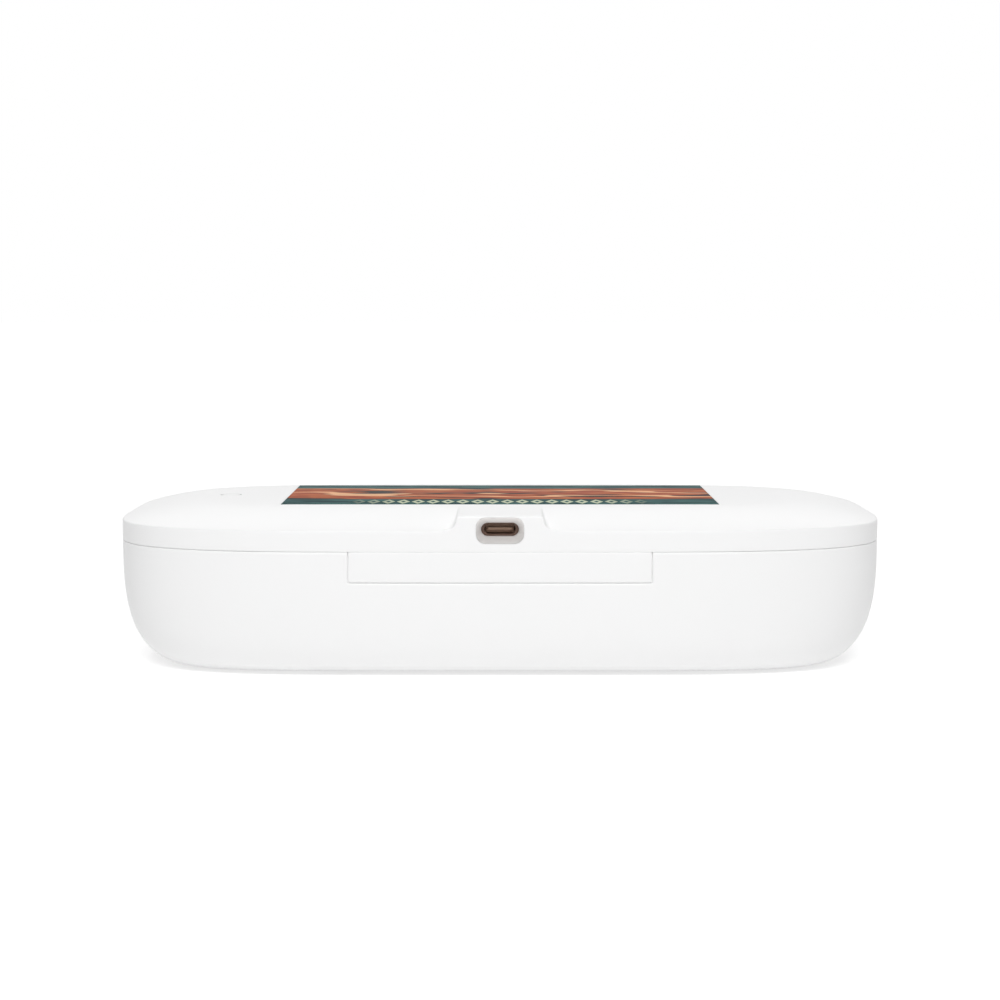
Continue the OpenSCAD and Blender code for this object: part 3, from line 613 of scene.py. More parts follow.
def easedAngle(turn):  # spreads the columns evenly along the outline; turn runs from 0 to 4 quarters
    quarter, part = divmod(turn, 1.0)
    return (quarter + eased(part)) * math.pi / 2


def easedPart(angle):  # the inverse of easedAngle, for one quarter
    wanted, low, high = angle / (math.pi / 2), 0.0, 1.0
    for _ in range(50):
        part = (low + high) / 2
        if eased(part) < wanted:
            low = part
        else:
            high = part
    return low


def outlinePoint(angle, a, b, power):
    return a * signedPower(math.cos(angle), 2 / power), b * signedPower(math.sin(angle), 2 / power)


def wallY(x, inset):  # how far back the rear wall lies at x
    a, b, power = outline["halfLength"] - inset, outline["halfDepth"] - inset, outline["squareness"]
    return b * (1 - abs(x / a) ** power) ** (1 / power)


# Where the lid turns, the height of the base's rim there, and the space that the turn needs.
hinge = dict(y=54.5, z=30.6, rim=35.05, gap=0.14, half=75.0, steps=14, sides=96)


def swingRadius(x):  # what the base's rim sweeps past at x as the lid turns, with its clearance
    return math.hypot(wallY(x, 0) - hinge["y"], hinge["rim"] - hinge["z"]) + hinge["gap"]


def crownHeight(x, y, gap):  # a top that stays inside that sweep
    return hinge["z"] + math.sqrt((swingRadius(x) - gap) ** 2 - (y - hinge["y"]) ** 2)


# Base casing: one rule gives its whole outside, so Geometry Nodes builds it.

baseCasing = dict(
    rim=35.1, seam=35.4, lift=0.7, wall=2.2, rimRadius=0.42, rimAngle=50, rimSegments=3,
    curlX=16.4, curlY=15.0, curlPower=3.25, curlRound=1.86, curlLean=1.6, bottomSquareness=5.4,
    sideRows=36, floorRows=5, notchHalf=40.52, notchBottom=26.88,
    lipInset=0.15, lipTop=35.19, lipFoot=34.3, lipEdge=(0.15, 0.1), lipShort=0.05,
    lipGap=0.09, lipReach=74.0, lipGate=(20, 80, 60),
    ledgeInset=0.5, ledgeLap=0.6, ledgeBack=0.7, ledgeTop=34.9, ledgeShort=0.03, ledgeJoin=0.3,
    footAt=(72.0, 30.0), footHoles=[  # name, radius, lowest and highest point, sides
        ("pocket", 6.2, -1, 1.5, 64), ("headSeat", 3.1, 0, 3.4, 48), ("bore", 1.7, 1, 10, 32),
    ],
    padRadius=5.0, padTop=5.4, padSink=0.5,
    fingerRadius=60.0, fingerDepth=1.3, fingerFrom=28.2, fingerTo=31.2,
    hingeRib=((-20.0, 43.6, 2.4), (20.0, 46.6, 34.0)),
)


def nudge(wanted, steps):  # how far to shift a row or column so that one lands on the wanted place
    nearest = round(wanted * steps) / steps
    return (wanted - nearest) / math.sin(2 * math.pi * nearest)


def casingTree():
    g, v = startTree("casingSkin", {
        "Float": (
            "Half Length", "Half Depth", "Squareness", "Bottom Squareness", "Rim", "Seam", "Lift",
            "Curl X", "Curl Y", "Curl Power", "Curl Round", "Curl Lean",
            "Notch Half", "Notch Bottom", "Column Nudge", "Row Nudge",
        ),
        "Int": ("Columns", "Side Rows", "Floor Rows"), "Material": ("Finish",),
    })
    sheet = g.add("GeometryNodeMeshGrid", {}, {
        "Size X": 4.0, "Size Y": 1.0,  # four quarters of a turn by one height
        "Vertices X": v["Columns"] + 1, "Vertices Y": v["Side Rows"] + v["Floor Rows"] + 1,
    })
    place = g.add("ShaderNodeSeparateXYZ", {}, {0: g.add("GeometryNodeInputPosition")})
    turn = place + 2.0  # runs from 0 to 4 quarters
    turn = turn + v["Column Nudge"] * (turn * (2 * math.pi)).math("SINE", turn * (2 * math.pi))
    quarter = turn.math("FLOOR", turn)
    part = turn - quarter
    angle = (quarter + eased(part)) * (math.pi / 2)
    row = (place.other("Y") + 0.5) * (v["Side Rows"] + v["Floor Rows"])
    down = row.math("MINIMUM", row / v["Side Rows"], 1.0)
    down = down + v["Row Nudge"] * down.math("SINE", down * (2 * math.pi))
    shrink = 1 - row.math("MAXIMUM", row - v["Side Rows"], 0.0) / v["Floor Rows"]
    steep = (down ** v["Curl Lean"]) * (math.pi / 2)
    depth = steep.math("MAXIMUM", steep.math("SINE", steep), 0.0) ** (2 / v["Curl Power"])
    inset = 1 - steep.math("MAXIMUM", steep.math("COSINE", steep), 0.0) ** (2 / v["Curl Round"])
    power = v["Squareness"] + (v["Bottom Squareness"] - v["Squareness"]) * inset
    cosine, sine = angle.math("COSINE", angle), angle.math("SINE", angle)
    x, y = (
        (v[half] - v[curl] * inset) * wave.math("SIGN", wave) * abs(wave) ** (2 / power) * shrink
        for half, curl, wave in (("Half Length", "Curl X", cosine), ("Half Depth", "Curl Y", sine))
    )
    z = v["Seam"] - depth * (v["Seam"] - v["Lift"])
    z = z.math("MINIMUM", z, v["Rim"])
    spot = g.add("ShaderNodeCombineXYZ", {}, {0: x, 1: y, 2: z})
    shaped = g.add("GeometryNodeSetPosition", {}, {"Geometry": sheet, "Position": spot})
    joined = g.add("GeometryNodeMergeByDistance", {}, {"Geometry": shaped, "Distance": weldGap * mm})
    middle = g.add("ShaderNodeSeparateXYZ", {}, {0: g.add("GeometryNodeInputPosition")})
    notch = (abs(middle) < v["Notch Half"]) * (middle.other("Y") > 0.0)
    notch = notch * (middle.other("Z") > v["Notch Bottom"])
    opened = g.add("GeometryNodeDeleteGeometry", {"domain": "FACE"}, {
        "Geometry": joined, "Selection": notch,
    })
    return endTree(g, opened, v["Finish"])


def buildBaseCasing(b, o):
    notchTurn = easedPart(math.acos((b["notchHalf"] / o["halfLength"]) ** (o["squareness"] / 2)))
    notchDepth = (b["seam"] - b["notchBottom"]) / (b["seam"] - b["lift"])
    notchRow = (math.asin(notchDepth ** (b["curlPower"] / 2)) / (math.pi / 2)) ** (1 / b["curlLean"])
    obj = runTree("baseCasing", casingTree(), {
        "Half Length": o["halfLength"] * mm, "Half Depth": o["halfDepth"] * mm,
        "Squareness": o["squareness"], "Bottom Squareness": b["bottomSquareness"],
        "Rim": b["rim"] * mm, "Seam": b["seam"] * mm,
        "Lift": b["lift"] * mm, "Curl X": b["curlX"] * mm, "Curl Y": b["curlY"] * mm,
        "Curl Power": b["curlPower"], "Curl Round": b["curlRound"], "Curl Lean": b["curlLean"],
        "Notch Half": b["notchHalf"] * mm, "Notch Bottom": b["notchBottom"] * mm,
        "Column Nudge": nudge(notchTurn, o["columns"] // 4), "Row Nudge": nudge(notchRow, b["sideRows"]),
        "Columns": o["columns"], "Side Rows": b["sideRows"], "Floor Rows": b["floorRows"],
        "Finish": materials["casing"],
    })
    thick = obj.modifiers.new("wall", "SOLIDIFY")
    thick.thickness = b["wall"] * mm
    thick.offset = 1
    thick.use_even_offset = True
    softenEdges(obj, b["rimRadius"], b["rimAngle"], b["rimSegments"])
    tidyMesh(obj.data)
    return obj


def wallBlock(name, x, z, inset, across=24):  # it follows the rear wall, between two values of each
    rings = []
    for k in range(across + 1):
        at = x[0] + (x[1] - x[0]) * k / across
        rings.append([(at, wallY(at, d), h) for d, h in (
            (inset[0], z[0]), (inset[0], z[1]), (inset[1], z[1]), (inset[1], z[0]))])
    return solidFromRings(name, rings)


def rimLip(b, o):  # the raised lip behind the rim; at the rear it is crowned about the hinge axis
    angles = [easedAngle(4 * k / o["columns"]) for k in range(o["columns"])]

    def ring(inset, height):
        made = []
        for angle in angles:
            x, y = outlinePoint(angle, o["halfLength"] - inset, o["halfDepth"] - inset, o["squareness"])
            z = height
            if height > b["lipFoot"] and y > 0 and abs(x) < b["lipReach"]:
                z = max(height, crownHeight(x, y, b["lipGap"]))
            made.append((x, y, z))
        return made
    front, back = b["lipInset"], b["wall"] - b["lipShort"]
    edgeIn, edgeDown = b["lipEdge"]
    lip = skinRings("rimLip", [
        ring(front, b["lipFoot"]), ring(front, b["lipTop"] - edgeDown), ring(front + edgeIn, b["lipTop"]),
        ring(back, b["lipTop"]), ring(back, b["lipFoot"]),
    ], closed=True)
    low, far, high = b["lipGate"]
    return carve(lip, [boxMesh("lipGate", (-b["notchHalf"], 0, low), (b["notchHalf"], far, high))])


def finishBaseCasing(obj, b, o):
    side = b["notchHalf"] - b["ledgeLap"]
    low = b["notchBottom"] - b["ledgeLap"]
    insets = (b["ledgeInset"], b["wall"] - b["ledgeShort"])
    far, near = side + 2 * b["ledgeLap"], side + b["ledgeJoin"]
    parts = [rimLip(b, o)]
    parts += [wallBlock("ledge", x, (low, b["ledgeTop"]), insets) for x in ((-far, -side), (side, far))]
    parts.append(wallBlock("ledge", (-near, near), (low, b["notchBottom"] + b["ledgeBack"]), insets, 48))
    corners = [(sx * b["footAt"][0], sy * b["footAt"][1]) for sx in (-1, 1) for sy in (-1, 1)]
    floor = b["lift"] + b["wall"]
    parts += [columnMesh("pad", *at, b["padRadius"], floor - b["padSink"], b["padTop"]) for at in corners]
    parts.append(boxMesh("hingeRib", *b["hingeRib"]))
    carve(obj, parts, "UNION")
    carve(obj, [columnMesh(name, *at, *hole) for name, *hole in b["footHoles"] for at in corners])
    for vertex in obj.data.vertices:  # the finger hollow is pressed into the outer skin of the front rim
        x, y, z = vertex.co / mm
        reach = b["fingerRadius"] ** 2 - x * x
        if y > 0 or reach <= 0 or z < b["fingerFrom"]:
            continue
        skin = -wallY(x, 0)
        depth = -o["halfDepth"] - b["fingerRadius"] + b["fingerDepth"] + math.sqrt(reach) - skin
        if depth <= 0 or y > skin + b["wall"]:
            continue
        part = min((z - b["fingerFrom"]) / (b["fingerTo"] - b["fingerFrom"]), 1)
        through = min(max((y - skin) / b["wall"], 0), 1)
        vertex.co.y += depth * eased(part) * (1 - through) * mm
    return obj


base = finishBaseCasing(buildBaseCasing(baseCasing, outline), baseCasing, outline)
finishPiece(base, "base", "casing", ["base_shell"])
print("base casing:", len(base.data.polygons), "faces")


# Lid casing: rings that follow one profile, with steady columns where the hump round the socket rises.

lidCasing = dict(
    seam=35.22, crease=40.9, top=45.0, wall=2.2, bottomRadius=0.28,
    domeX=20.4, domeY=28.0, domePower=1.57, topSquareness=3.5, creaseRadius=0.4,
    humpHalf=11.6, humpEdge=0.9, humpFlare=3.2, humpRadius=0.6, humpFall=2, humpReach=4, humpSoftHalf=16,
    merge=1.0, mergeFade=4, flatSteps=5, edgeColumns=5, flareColumns=8, footColumns=(0.6, 1.4, 2.6, 4.4),
    innerCrease=40.0, innerTop=43.0, innerDomeX=18.5, innerDomeY=26.0, innerRows=8, innerFoot=(2.0, 0.3),
    steadyX=22.0, steadyLap=1, freeX=48.0, bandRows=5, domeRows=26, edgeSteps=6,
    printHalf=(61.25, 28.55), printFloor=44.75, buttonAt=(78.5, 1.0), buttonHole=3.1, buttonFrom=40.0,
    seat=(12.8, 7.1, 2.6), seatSpan=(54.4, 70), socketAt=41.05, above=2,
    roomLow=(-6.5, 32.0, 36.4), roomHigh=(6.5, 54.5, 43.0),
    bosses=[  # screws, their heights, boss radius, its foot above the screw's lowest point, pilot depth
        ("liner_screws", (30, 40), 2.6, 1.4, 3.8), ("arm_screws", (30, 40), 2.6, 2.4, 2.2),
        ("board_screws", (30, 37.8), 2.2, 2.0, 2.2), ("board_screws", (37.8, 40), 2.0, 1.8, 2.0),
    ],
    bossLap=0.7, pilot=0.95,
)


def swingSpace(h):  # what the base's rim sweeps through, seen from the lid
    rings = []
    turns = [2 * math.pi * k / h["sides"] for k in range(h["sides"])]
    for i in range(-h["steps"], h["steps"] + 1):
        x = h["half"] * i / h["steps"]
        radius = swingRadius(x)
        rings.append([(x, h["y"] + radius * math.cos(t), h["z"] + radius * math.sin(t)) for t in turns])
    return solidFromRings("swingSpace", rings)


def humpHeight(x, l):
    x = abs(x)
    flat = l["humpHalf"] - l["humpEdge"]
    foot = l["humpHalf"] + l["humpFlare"]
    if x <= flat:
        return l["top"]
    if x <= l["humpHalf"]:
        return l["top"] - l["humpEdge"] + math.sqrt(max(l["humpEdge"] ** 2 - (x - flat) ** 2, 0))
    if x <= foot:
        return l["crease"] + l["humpFlare"] - math.sqrt(max(l["humpFlare"] ** 2 - (foot - x) ** 2, 0))
    return l["crease"] - l["humpFall"] * (x - foot)


def lidColumns(l, o):  # for each its angle on the outline, its x at the wall, and how much it keeps that x
    flat = l["humpHalf"] - l["humpEdge"]
    foot = l["humpHalf"] + l["humpFlare"]
    steady = [flat * k / l["flatSteps"] for k in range(l["flatSteps"])]
    steady += [flat + l["humpEdge"] * math.sin(t) for t in quarterTurn(l["edgeColumns"])]
    steady += [foot - l["humpFlare"] * math.cos(t) for t in quarterTurn(l["flareColumns"])[1:]]
    steady += [foot + step for step in l["footColumns"]] + [l["steadyX"]]
    xs = sorted([-x for x in steady if x > 0] + steady, reverse=True)
    columns = []
    for k in range(o["columns"]):
        angle = easedAngle(4 * k / o["columns"])
        x, y = outlinePoint(angle, o["halfLength"], o["halfDepth"], o["squareness"])
        if y > 0 and abs(x) <= l["steadyX"] + l["steadyLap"]:  # the steady columns stand here instead
            for x in xs:
                share = min(abs(x) / o["halfLength"], 1) ** (o["squareness"] / 2)
                columns.append((math.acos(math.copysign(share, x)), x, 1.0))
            xs = []
            continue
        keep = 0.0
        if y > 0 and abs(x) < l["freeX"]:
            keep = eased((l["freeX"] - abs(x)) / (l["freeX"] - l["steadyX"]))
        columns.append((angle, x, keep))
    return columns


def columnPlace(column, a, b, power):
    angle, x0, keep = column
    x, y = outlinePoint(angle, a, b, power)
    if keep > 0:
        x += (x0 - x) * keep
        y = b * (1 - abs(x / a) ** power) ** (1 / power)
    return x, y


def lidRings(l, o):
    columns = lidColumns(l, o)
    a, b, power = o["halfLength"], o["halfDepth"], o["squareness"]

    def level(inset, z):
        return [(*columnPlace(c, a - inset, b - inset, power), z) for c in columns]

    def dome(inset, v, crease, top, drawX, drawY):
        z = crease + (top - crease) * (1 - (1 - v) ** l["domePower"])
        squareness = power + (l["topSquareness"] - power) * v
        halfX, halfY = a - inset - drawX * v, b - inset - drawY * v
        return [(*columnPlace(c, halfX, halfY, squareness), z) for c in columns]

    def flat(ring, share):
        return [(x * share, y * share, z) for x, y, z in ring]

    def blended(low, high):  # the higher of two heights, with a soft seam that fades out at the flat top
        free = max(l["top"] - max(low, high), 0) / (l["top"] - l["crease"])
        soft = l["merge"] * min(1, l["mergeFade"] * free)
        return (low + high + math.sqrt((low - high) ** 2 + soft ** 2)) / 2

    inside = (l["innerCrease"], l["innerTop"], l["innerDomeX"], l["innerDomeY"])
    inner = [dome(l["wall"], v / l["innerRows"], *inside) for v in range(l["innerRows"] + 1)]
    rings = [flat(inner[-1], 0.0), flat(inner[-1], 0.5)] + inner[::-1]
    upright, cutBack = l["innerFoot"]
    rings += [level(l["wall"], l["seam"] + rise) for rise in (upright, cutBack)]
    rings.append(level(l["wall"] - cutBack, l["seam"]))
    rings += [level(inset, z) for inset, z in lowRound(l["seam"], l["bottomRadius"])]
    meanDraw = (l["domeX"] + l["domeY"]) / 2
    edge = [l["creaseRadius"] * (1 - math.cos(t)) / meanDraw for t in quarterTurn(l["edgeSteps"])]
    rise = [edge[-1] + (1 - edge[-1]) * k / l["domeRows"] for k in range(1, l["domeRows"] + 1)]
    outside = (l["crease"], l["top"], l["domeX"], l["domeY"])
    wallTop = level(0, l["crease"])
    outer = []
    for v in edge + rise:
        ring = []
        for (x, y, z), (x0, y0, _) in zip(dome(0, v, *outside), wallTop):
            height, share = z, 0
            if y0 > 0 and abs(x0) < l["humpHalf"] + l["humpFlare"] + l["humpReach"]:
                height = blended(z, humpHeight(x, l))
                if abs(x0) < l["humpSoftHalf"]:
                    share = min(max((height - l["crease"]) / (l["top"] - l["crease"]), 0), 1)
            radius = l["creaseRadius"] + (l["humpRadius"] - l["creaseRadius"]) * share
            near = min(math.hypot(x - x0, y - y0), radius)
            ring.append((x, y, height - (radius - math.sqrt(radius ** 2 - (radius - near) ** 2))))
        outer.append(ring)
    start = rings[-1]
    for k in range(1, l["bandRows"]):
        rings.append([
            (x, y, z + (top - z) * k / l["bandRows"]) for (x, y, z), (_, _, top) in zip(start, outer[0])
        ])
    rings += outer
    rings += [flat(outer[-1], share) for share in (0.75, 0.5, 0.25, 0.0)]
    return rings


def buildLidCasing(l, h, o):
    obj = skinRings("lidCasing", lidRings(l, o))
    bpy.context.view_layer.update()
    bosses, pilots = [], []
    for node, (lowest, highest), radius, rise, depth in l["bosses"]:
        for x, y, z in feet(node):
            if lowest < z < highest:
                foot = z + rise
                _, roof, _, _ = obj.ray_cast(Vector((x, y, foot)) * mm, Vector((0, 0, 1)))
                bosses.append(columnMesh("boss", x, y, radius, foot, roof.z / mm + l["bossLap"]))
                pilots.append(columnMesh("pilot", x, y, l["pilot"], foot - 1, foot + depth, 24))
    carve(obj, bosses, "UNION")
    halfX, halfY = l["printHalf"]
    above = l["top"] + l["above"]
    return carve(obj, pilots + [
        boxMesh("printPocket", (-halfX, -halfY, l["printFloor"]), (halfX, halfY, above)),
        columnMesh("buttonHole", *l["buttonAt"], l["buttonHole"], l["buttonFrom"], above, 64),
        solidFromRings("bezelSeat", [slotRing(*l["seat"], y, l["socketAt"]) for y in l["seatSpan"]]),
        boxMesh("socketRoom", l["roomLow"], l["roomHigh"]),
        swingSpace(h),
    ])


lid = buildLidCasing(lidCasing, hinge, outline)
finishPiece(lid, "lid", "casing", ["lid_cover"])
print("lid casing:", len(lid.data.polygons), "faces")


# Hinge cover: a strip of the outline's wall, with rounded edges and two snap tabs.

hingeCover = dict(
    half=40.3, low=27.1, thick=1.25, edge=0.4, topSteps=5, topDrop=1.2, gap=0.12,
    across=60, faceRows=6, crownRows=5, bevel=0.6, bevelAngle=60, bevelSegments=3,
    tabAt=11.0, tabHalf=3.0, tabLow=(53.5, 27.5), tabHigh=(57.4, 28.7),
)


def buildHingeCover(c):
    edge, rings = c["edge"], []
    for k in range(c["across"] + 1):
        x = c["half"] * (2 * k / c["across"] - 1)
        shoulder = crownHeight(x, wallY(x, edge), c["gap"])
        start, end = c["low"] + edge, shoulder - edge * c["topDrop"]
        profile = lowRound(c["low"], edge)
        profile += [(0, start + (end - start) * n / c["faceRows"]) for n in range(1, c["faceRows"])]
        turns = quarterTurn(c["topSteps"])
        profile += [(edge * (1 - math.cos(t)), end + (shoulder - end) * math.sin(t)) for t in turns]
        for n in range(1, c["crownRows"] + 1):
            inset = edge + (c["thick"] - edge) * n / c["crownRows"]
            profile.append((inset, crownHeight(x, wallY(x, inset), c["gap"])))
        profile.append((c["thick"], c["low"]))
        rings.append([(x, wallY(x, inset), z) for inset, z in profile])
    obj = solidFromRings("hingeCover", rings)
    softenEdges(obj, edge * c["bevel"], c["bevelAngle"], c["bevelSegments"])
    return carve(obj, [
        boxMesh("tab", (at - c["tabHalf"], *c["tabLow"]), (at + c["tabHalf"], *c["tabHigh"]))
        for at in (-c["tabAt"], c["tabAt"])
    ], "UNION")


cover = buildHingeCover(hingeCover)
finishPiece(cover, "base", "casing", ["hinge_cover"], angle=60)


# What the fittings share.

outlineCount = outline["columns"] // 2
chamber = dict(half=(93.0, 43.0), middle=-2.5, corner=18.0)


def chamberRing(grow, z):  # a rounded rectangle whose points face the outline's columns
    wide, deep, corner = (size + grow for size in (*chamber["half"], chamber["corner"]))
    ring = []
    for k in range(outlineCount):
        dx, dy = outlinePoint(easedAngle(4 * k / outlineCount), wide, deep, outline["squareness"])
        far = min(wide / max(abs(dx), 1e-9), deep / max(abs(dy), 1e-9))
        x, y = abs(dx) * far, abs(dy) * far
        if x > wide - corner and y > deep - corner:
            cx, cy = wide - corner, deep - corner
            along = abs(dx) * cx + abs(dy) * cy
            reach = dx * dx + dy * dy
            far = (along + math.sqrt(along ** 2 - reach * (cx * cx + cy * cy - corner * corner))) / reach
            x, y = abs(dx) * far, abs(dy) * far
        ring.append((math.copysign(x, dx), chamber["middle"] + math.copysign(y, dy), z))
    return ring


def chamberRings(*rows):
    return [chamberRing(grow, z) for grow, z in rows]


def outlineRings(*rows):
    turns = [easedAngle(4 * k / outlineCount) for k in range(outlineCount)]
    a, b, power = outline["halfLength"], outline["halfDepth"], outline["squareness"]
    return [[(*outlinePoint(t, a - inset, b - inset, power), z) for t in turns] for inset, z in rows]


def centreRing(z):
    return [(0.0, chamber["middle"], z)] * outlineCount


def filletRings(grow, z, radius):  # a quarter round from level to upright
    return [chamberRing(grow - inset, height) for inset, height in lowRound(z, radius)]


def windows(name, size, radius, span):  # upright cutters with rounded corners, one at each lamp window
    made = []
    for at in middles("uv_window_left", "uv_window_right"):
        ring = [(at.x + x, at.y + y) for x, _, y in slotRing(*size, radius, 0, 0, 6)]
        made.append(solidFromRings(name, [[(*p, z) for p in ring] for z in span]))
    return made


# Printed panel, socket and button.

panel = refined("printPanel", "print_panel", 0.06)
finishPiece(panel, "lid", "print", ["print_panel"])

bezelRing = dict(
    outer=(12.7, 7.0, 2.55), rim=(12.46, 6.76, 2.45), slot=(10.1, 3.66, 1.83), z=41.05,
    back=54.6, throat=55.5, face=58.5, edge=0.12, lipShare=0.35, lipDrop=0.02, rimDrop=0.05,
    straight=0.82, bowed=0.18, steps=10,
)


def buildBezel(b):
    def between(low, high, share):
        return [u + (v - u) * share for u, v in zip(low, high)]
    rings = [slotRing(*b["outer"], y, b["z"]) for y in (b["back"], b["face"] - b["edge"])]
    rings.append(slotRing(*between(b["outer"], b["rim"], b["lipShare"]), b["face"] - b["lipDrop"], b["z"]))
    start = b["face"] - b["rimDrop"]
    rings.append(slotRing(*b["rim"], start, b["z"]))
    for k in range(1, b["steps"] + 1):
        share = k / b["steps"]
        y = start + (b["throat"] - start) * (b["straight"] * share + b["bowed"] * share ** 3)
        rings.append(slotRing(*between(b["rim"], b["slot"], share), y, b["z"]))
    rings.append(slotRing(*b["slot"], b["back"], b["z"]))
    return skinRings("portBezel", rings, closed=True)


finishPiece(buildBezel(bezelRing), "lid", "bezel", ["port_bezel"], angle=50)

socketShell = dict(
    outer=(8.94, 3.2, 1.6), inner=(8.34, 2.6, 1.3), flange=(10.3, 3.86, 1.93), flangeThick=0.2,
    back=47.3, floor=48.1, mouth=54.5, edge=0.13, z=41.05,
)


def buildSocketShell(s):
    rings = [slotRing(*s["outer"], y, s["z"]) for y in (s["back"], s["mouth"] - s["flangeThick"])]
    rings += [slotRing(*s["flange"], y, s["z"]) for y in (s["mouth"] - s["flangeThick"], s["mouth"])]
    lip = [u + 2 * s["edge"] for u in s["inner"][:2]] + [s["inner"][2] + s["edge"]]
    rings.append(slotRing(*lip, s["mouth"], s["z"]))
    rings += [slotRing(*s["inner"], y, s["z"]) for y in (s["mouth"] - s["edge"], s["floor"])]
    return solidFromRings("socketShell", rings)


finishPiece(buildSocketShell(socketShell), "lid", "socket_shell", ["usb_c_shell"])

tongue = dict(
    width=6.69, thick=0.7, back=48.1, shoulder=52.2, nose=53.6, edge=0.22, z=41.05,
    root=2.4, rootWider=1.2, shoulderWider=0.8, shoulderLower=0.4, shoulderEdge=0.2,
    radii=(0.4, 0.3, 0.1, 0.05),  # of the corners at the root, the shoulder, the blade and its nose
)


def buildTongue(t):
    width, thick, edge = t["width"], t["thick"], t["edge"]
    rootRadius, shoulderRadius, bladeRadius, noseRadius = t["radii"]
    return solidFromRings("socketTongue", [slotRing(*size, y, t["z"]) for *size, y in (
        (width + t["rootWider"], t["root"], rootRadius, t["back"]),
        (width + t["rootWider"], t["root"], rootRadius, t["shoulder"] - t["shoulderEdge"]),
        (width + t["shoulderWider"], t["root"] - t["shoulderLower"], shoulderRadius, t["shoulder"]),
        (width, thick, bladeRadius, t["shoulder"]), (width, thick, bladeRadius, t["nose"] - edge),
        (width - 2 * edge, thick - 2 * edge, noseRadius, t["nose"]),
    )])


finishPiece(buildTongue(tongue), "lid", "socket_core", ["usb_c_tongue"])

contactRow = dict(
    count=12, pitch=0.54, low=(-0.15, 51.5, 41.39), high=(0.15, 53.6, 41.5), edge=0.03,
    tipLow=40.86, tipLap=0.02, tipThick=0.08,
)


def buildContacts(c):
    blade = boxMesh("blade", c["low"], c["high"])
    right, end, top = c["high"]
    tip = boxMesh("tip", (c["low"][0], end - c["tipLap"], c["tipLow"]), (right, end + c["tipThick"], top))
    softenEdges(carve(blade, [tip], "UNION"), c["edge"])
    places = [((k - (c["count"] - 1) / 2) * c["pitch"], 0, 0) for k in range(c["count"])]
    return repeatAt("socketContacts", blade, places, "contact")


finishPiece(buildContacts(contactRow), "lid", "contact", ["usb_c_contacts"])

button = dict(
    at=(78.5, 1.0), stem=1.2, stemLow=41.65, flange=4.0, low=41.9, high=42.9, cap=2.8, top=45.0, edge=0.3,
    stemEdge=0.1, flangeEdge=0.15, dish=0.08, dishRim=0.2,
)


def buildButton(b):
    stem, flange, cap, small, edge = b["stem"], b["flange"], b["cap"], b["stemEdge"], b["flangeEdge"]
    foot, low, high, top, bend = b["stemLow"], b["low"], b["high"], b["top"], b["edge"]
    profile = [(0, foot), (stem - small, foot), (stem, foot + small), (stem, low)]
    profile += [(flange - edge, low), (flange, low + edge), (flange, high - edge), (flange - edge, high)]
    profile += [(cap + small, high), (cap, high + small)]
    profile += [(cap - inset, z) for inset, z in highRound(top, bend)]
    hollow = cap - bend - b["dishRim"]
    profile += [(hollow * share, top - b["dish"] * (1 - share ** 2)) for share in (1, 0.75, 0.5, 0.25, 0)]
    return turned("powerButton", profile, b["at"], 64)


finishPiece(buildButton(button), "button", "casing", ["power_button"])
plunger = refined("switchPlunger", "switch_plunger", 0.12)
finishPiece(plunger, "button", "plunger", ["switch_plunger"])
print("printed panel, socket and button built")


# Feet.

foot = dict(
    radius=6.0, top=1.45, edge=0.5, topEdge=0.1,
    grooves=(1.6, 3.0, 4.4), grooveHalf=0.25, floorHalf=0.15, grooveDepth=0.15,
)


def buildFoot(name, at, f):
    profile = [(0, 0)]
    half, floor, deep = f["grooveHalf"], f["floorHalf"], f["grooveDepth"]
    for radius in f["grooves"]:
        profile += [(radius - half, 0), (radius - floor, deep), (radius + floor, deep), (radius + half, 0)]
    radius, top, edge = f["radius"], f["top"], f["topEdge"]
    profile += [(radius - inset, z) for inset, z in lowRound(0, f["edge"])]
    profile += [(radius, top - edge), (radius - edge, top), (0, top)]
    return turned(name, profile, at, 64)


for side, sx in (("left", -1), ("right", 1)):
    for end, sy in (("front", -1), ("rear", 1)):
        spot = (sx * baseCasing["footAt"][0], sy * baseCasing["footAt"][1])
        rubber = buildFoot("foot" + end.capitalize() + side.capitalize(), spot, foot)
        finishPiece(rubber, "base", "foot_rubber", ["foot_" + end + "_" + side])


# Chamber: tray, reflecting pan and clear ribs.

tray = dict(
    floor=13.1, under=11.5, floorInset=-12, floorRadius=1.0, underRadius=2.0,
    wall=1.6, wallRows=(0.3, 0.6, 0.9),
    flangeInset=2.3, flangeTop=34.6, flangeLow=33.2, lip=0.8, edge=0.3, foldEdge=0.4,
    bossRadius=3.5, bossLow=5.5, bossLap=0.5, pilot=1.25, pilotRoof=0.6,
    cupRadius=4.0, cupDepth=2.0, cupLap=0.4, magnet=3.0, magnetFrom=20,
    hingeRoom=((-41.0, 43.4, 20.0), (41.0, 60.0, 40.0)),
)


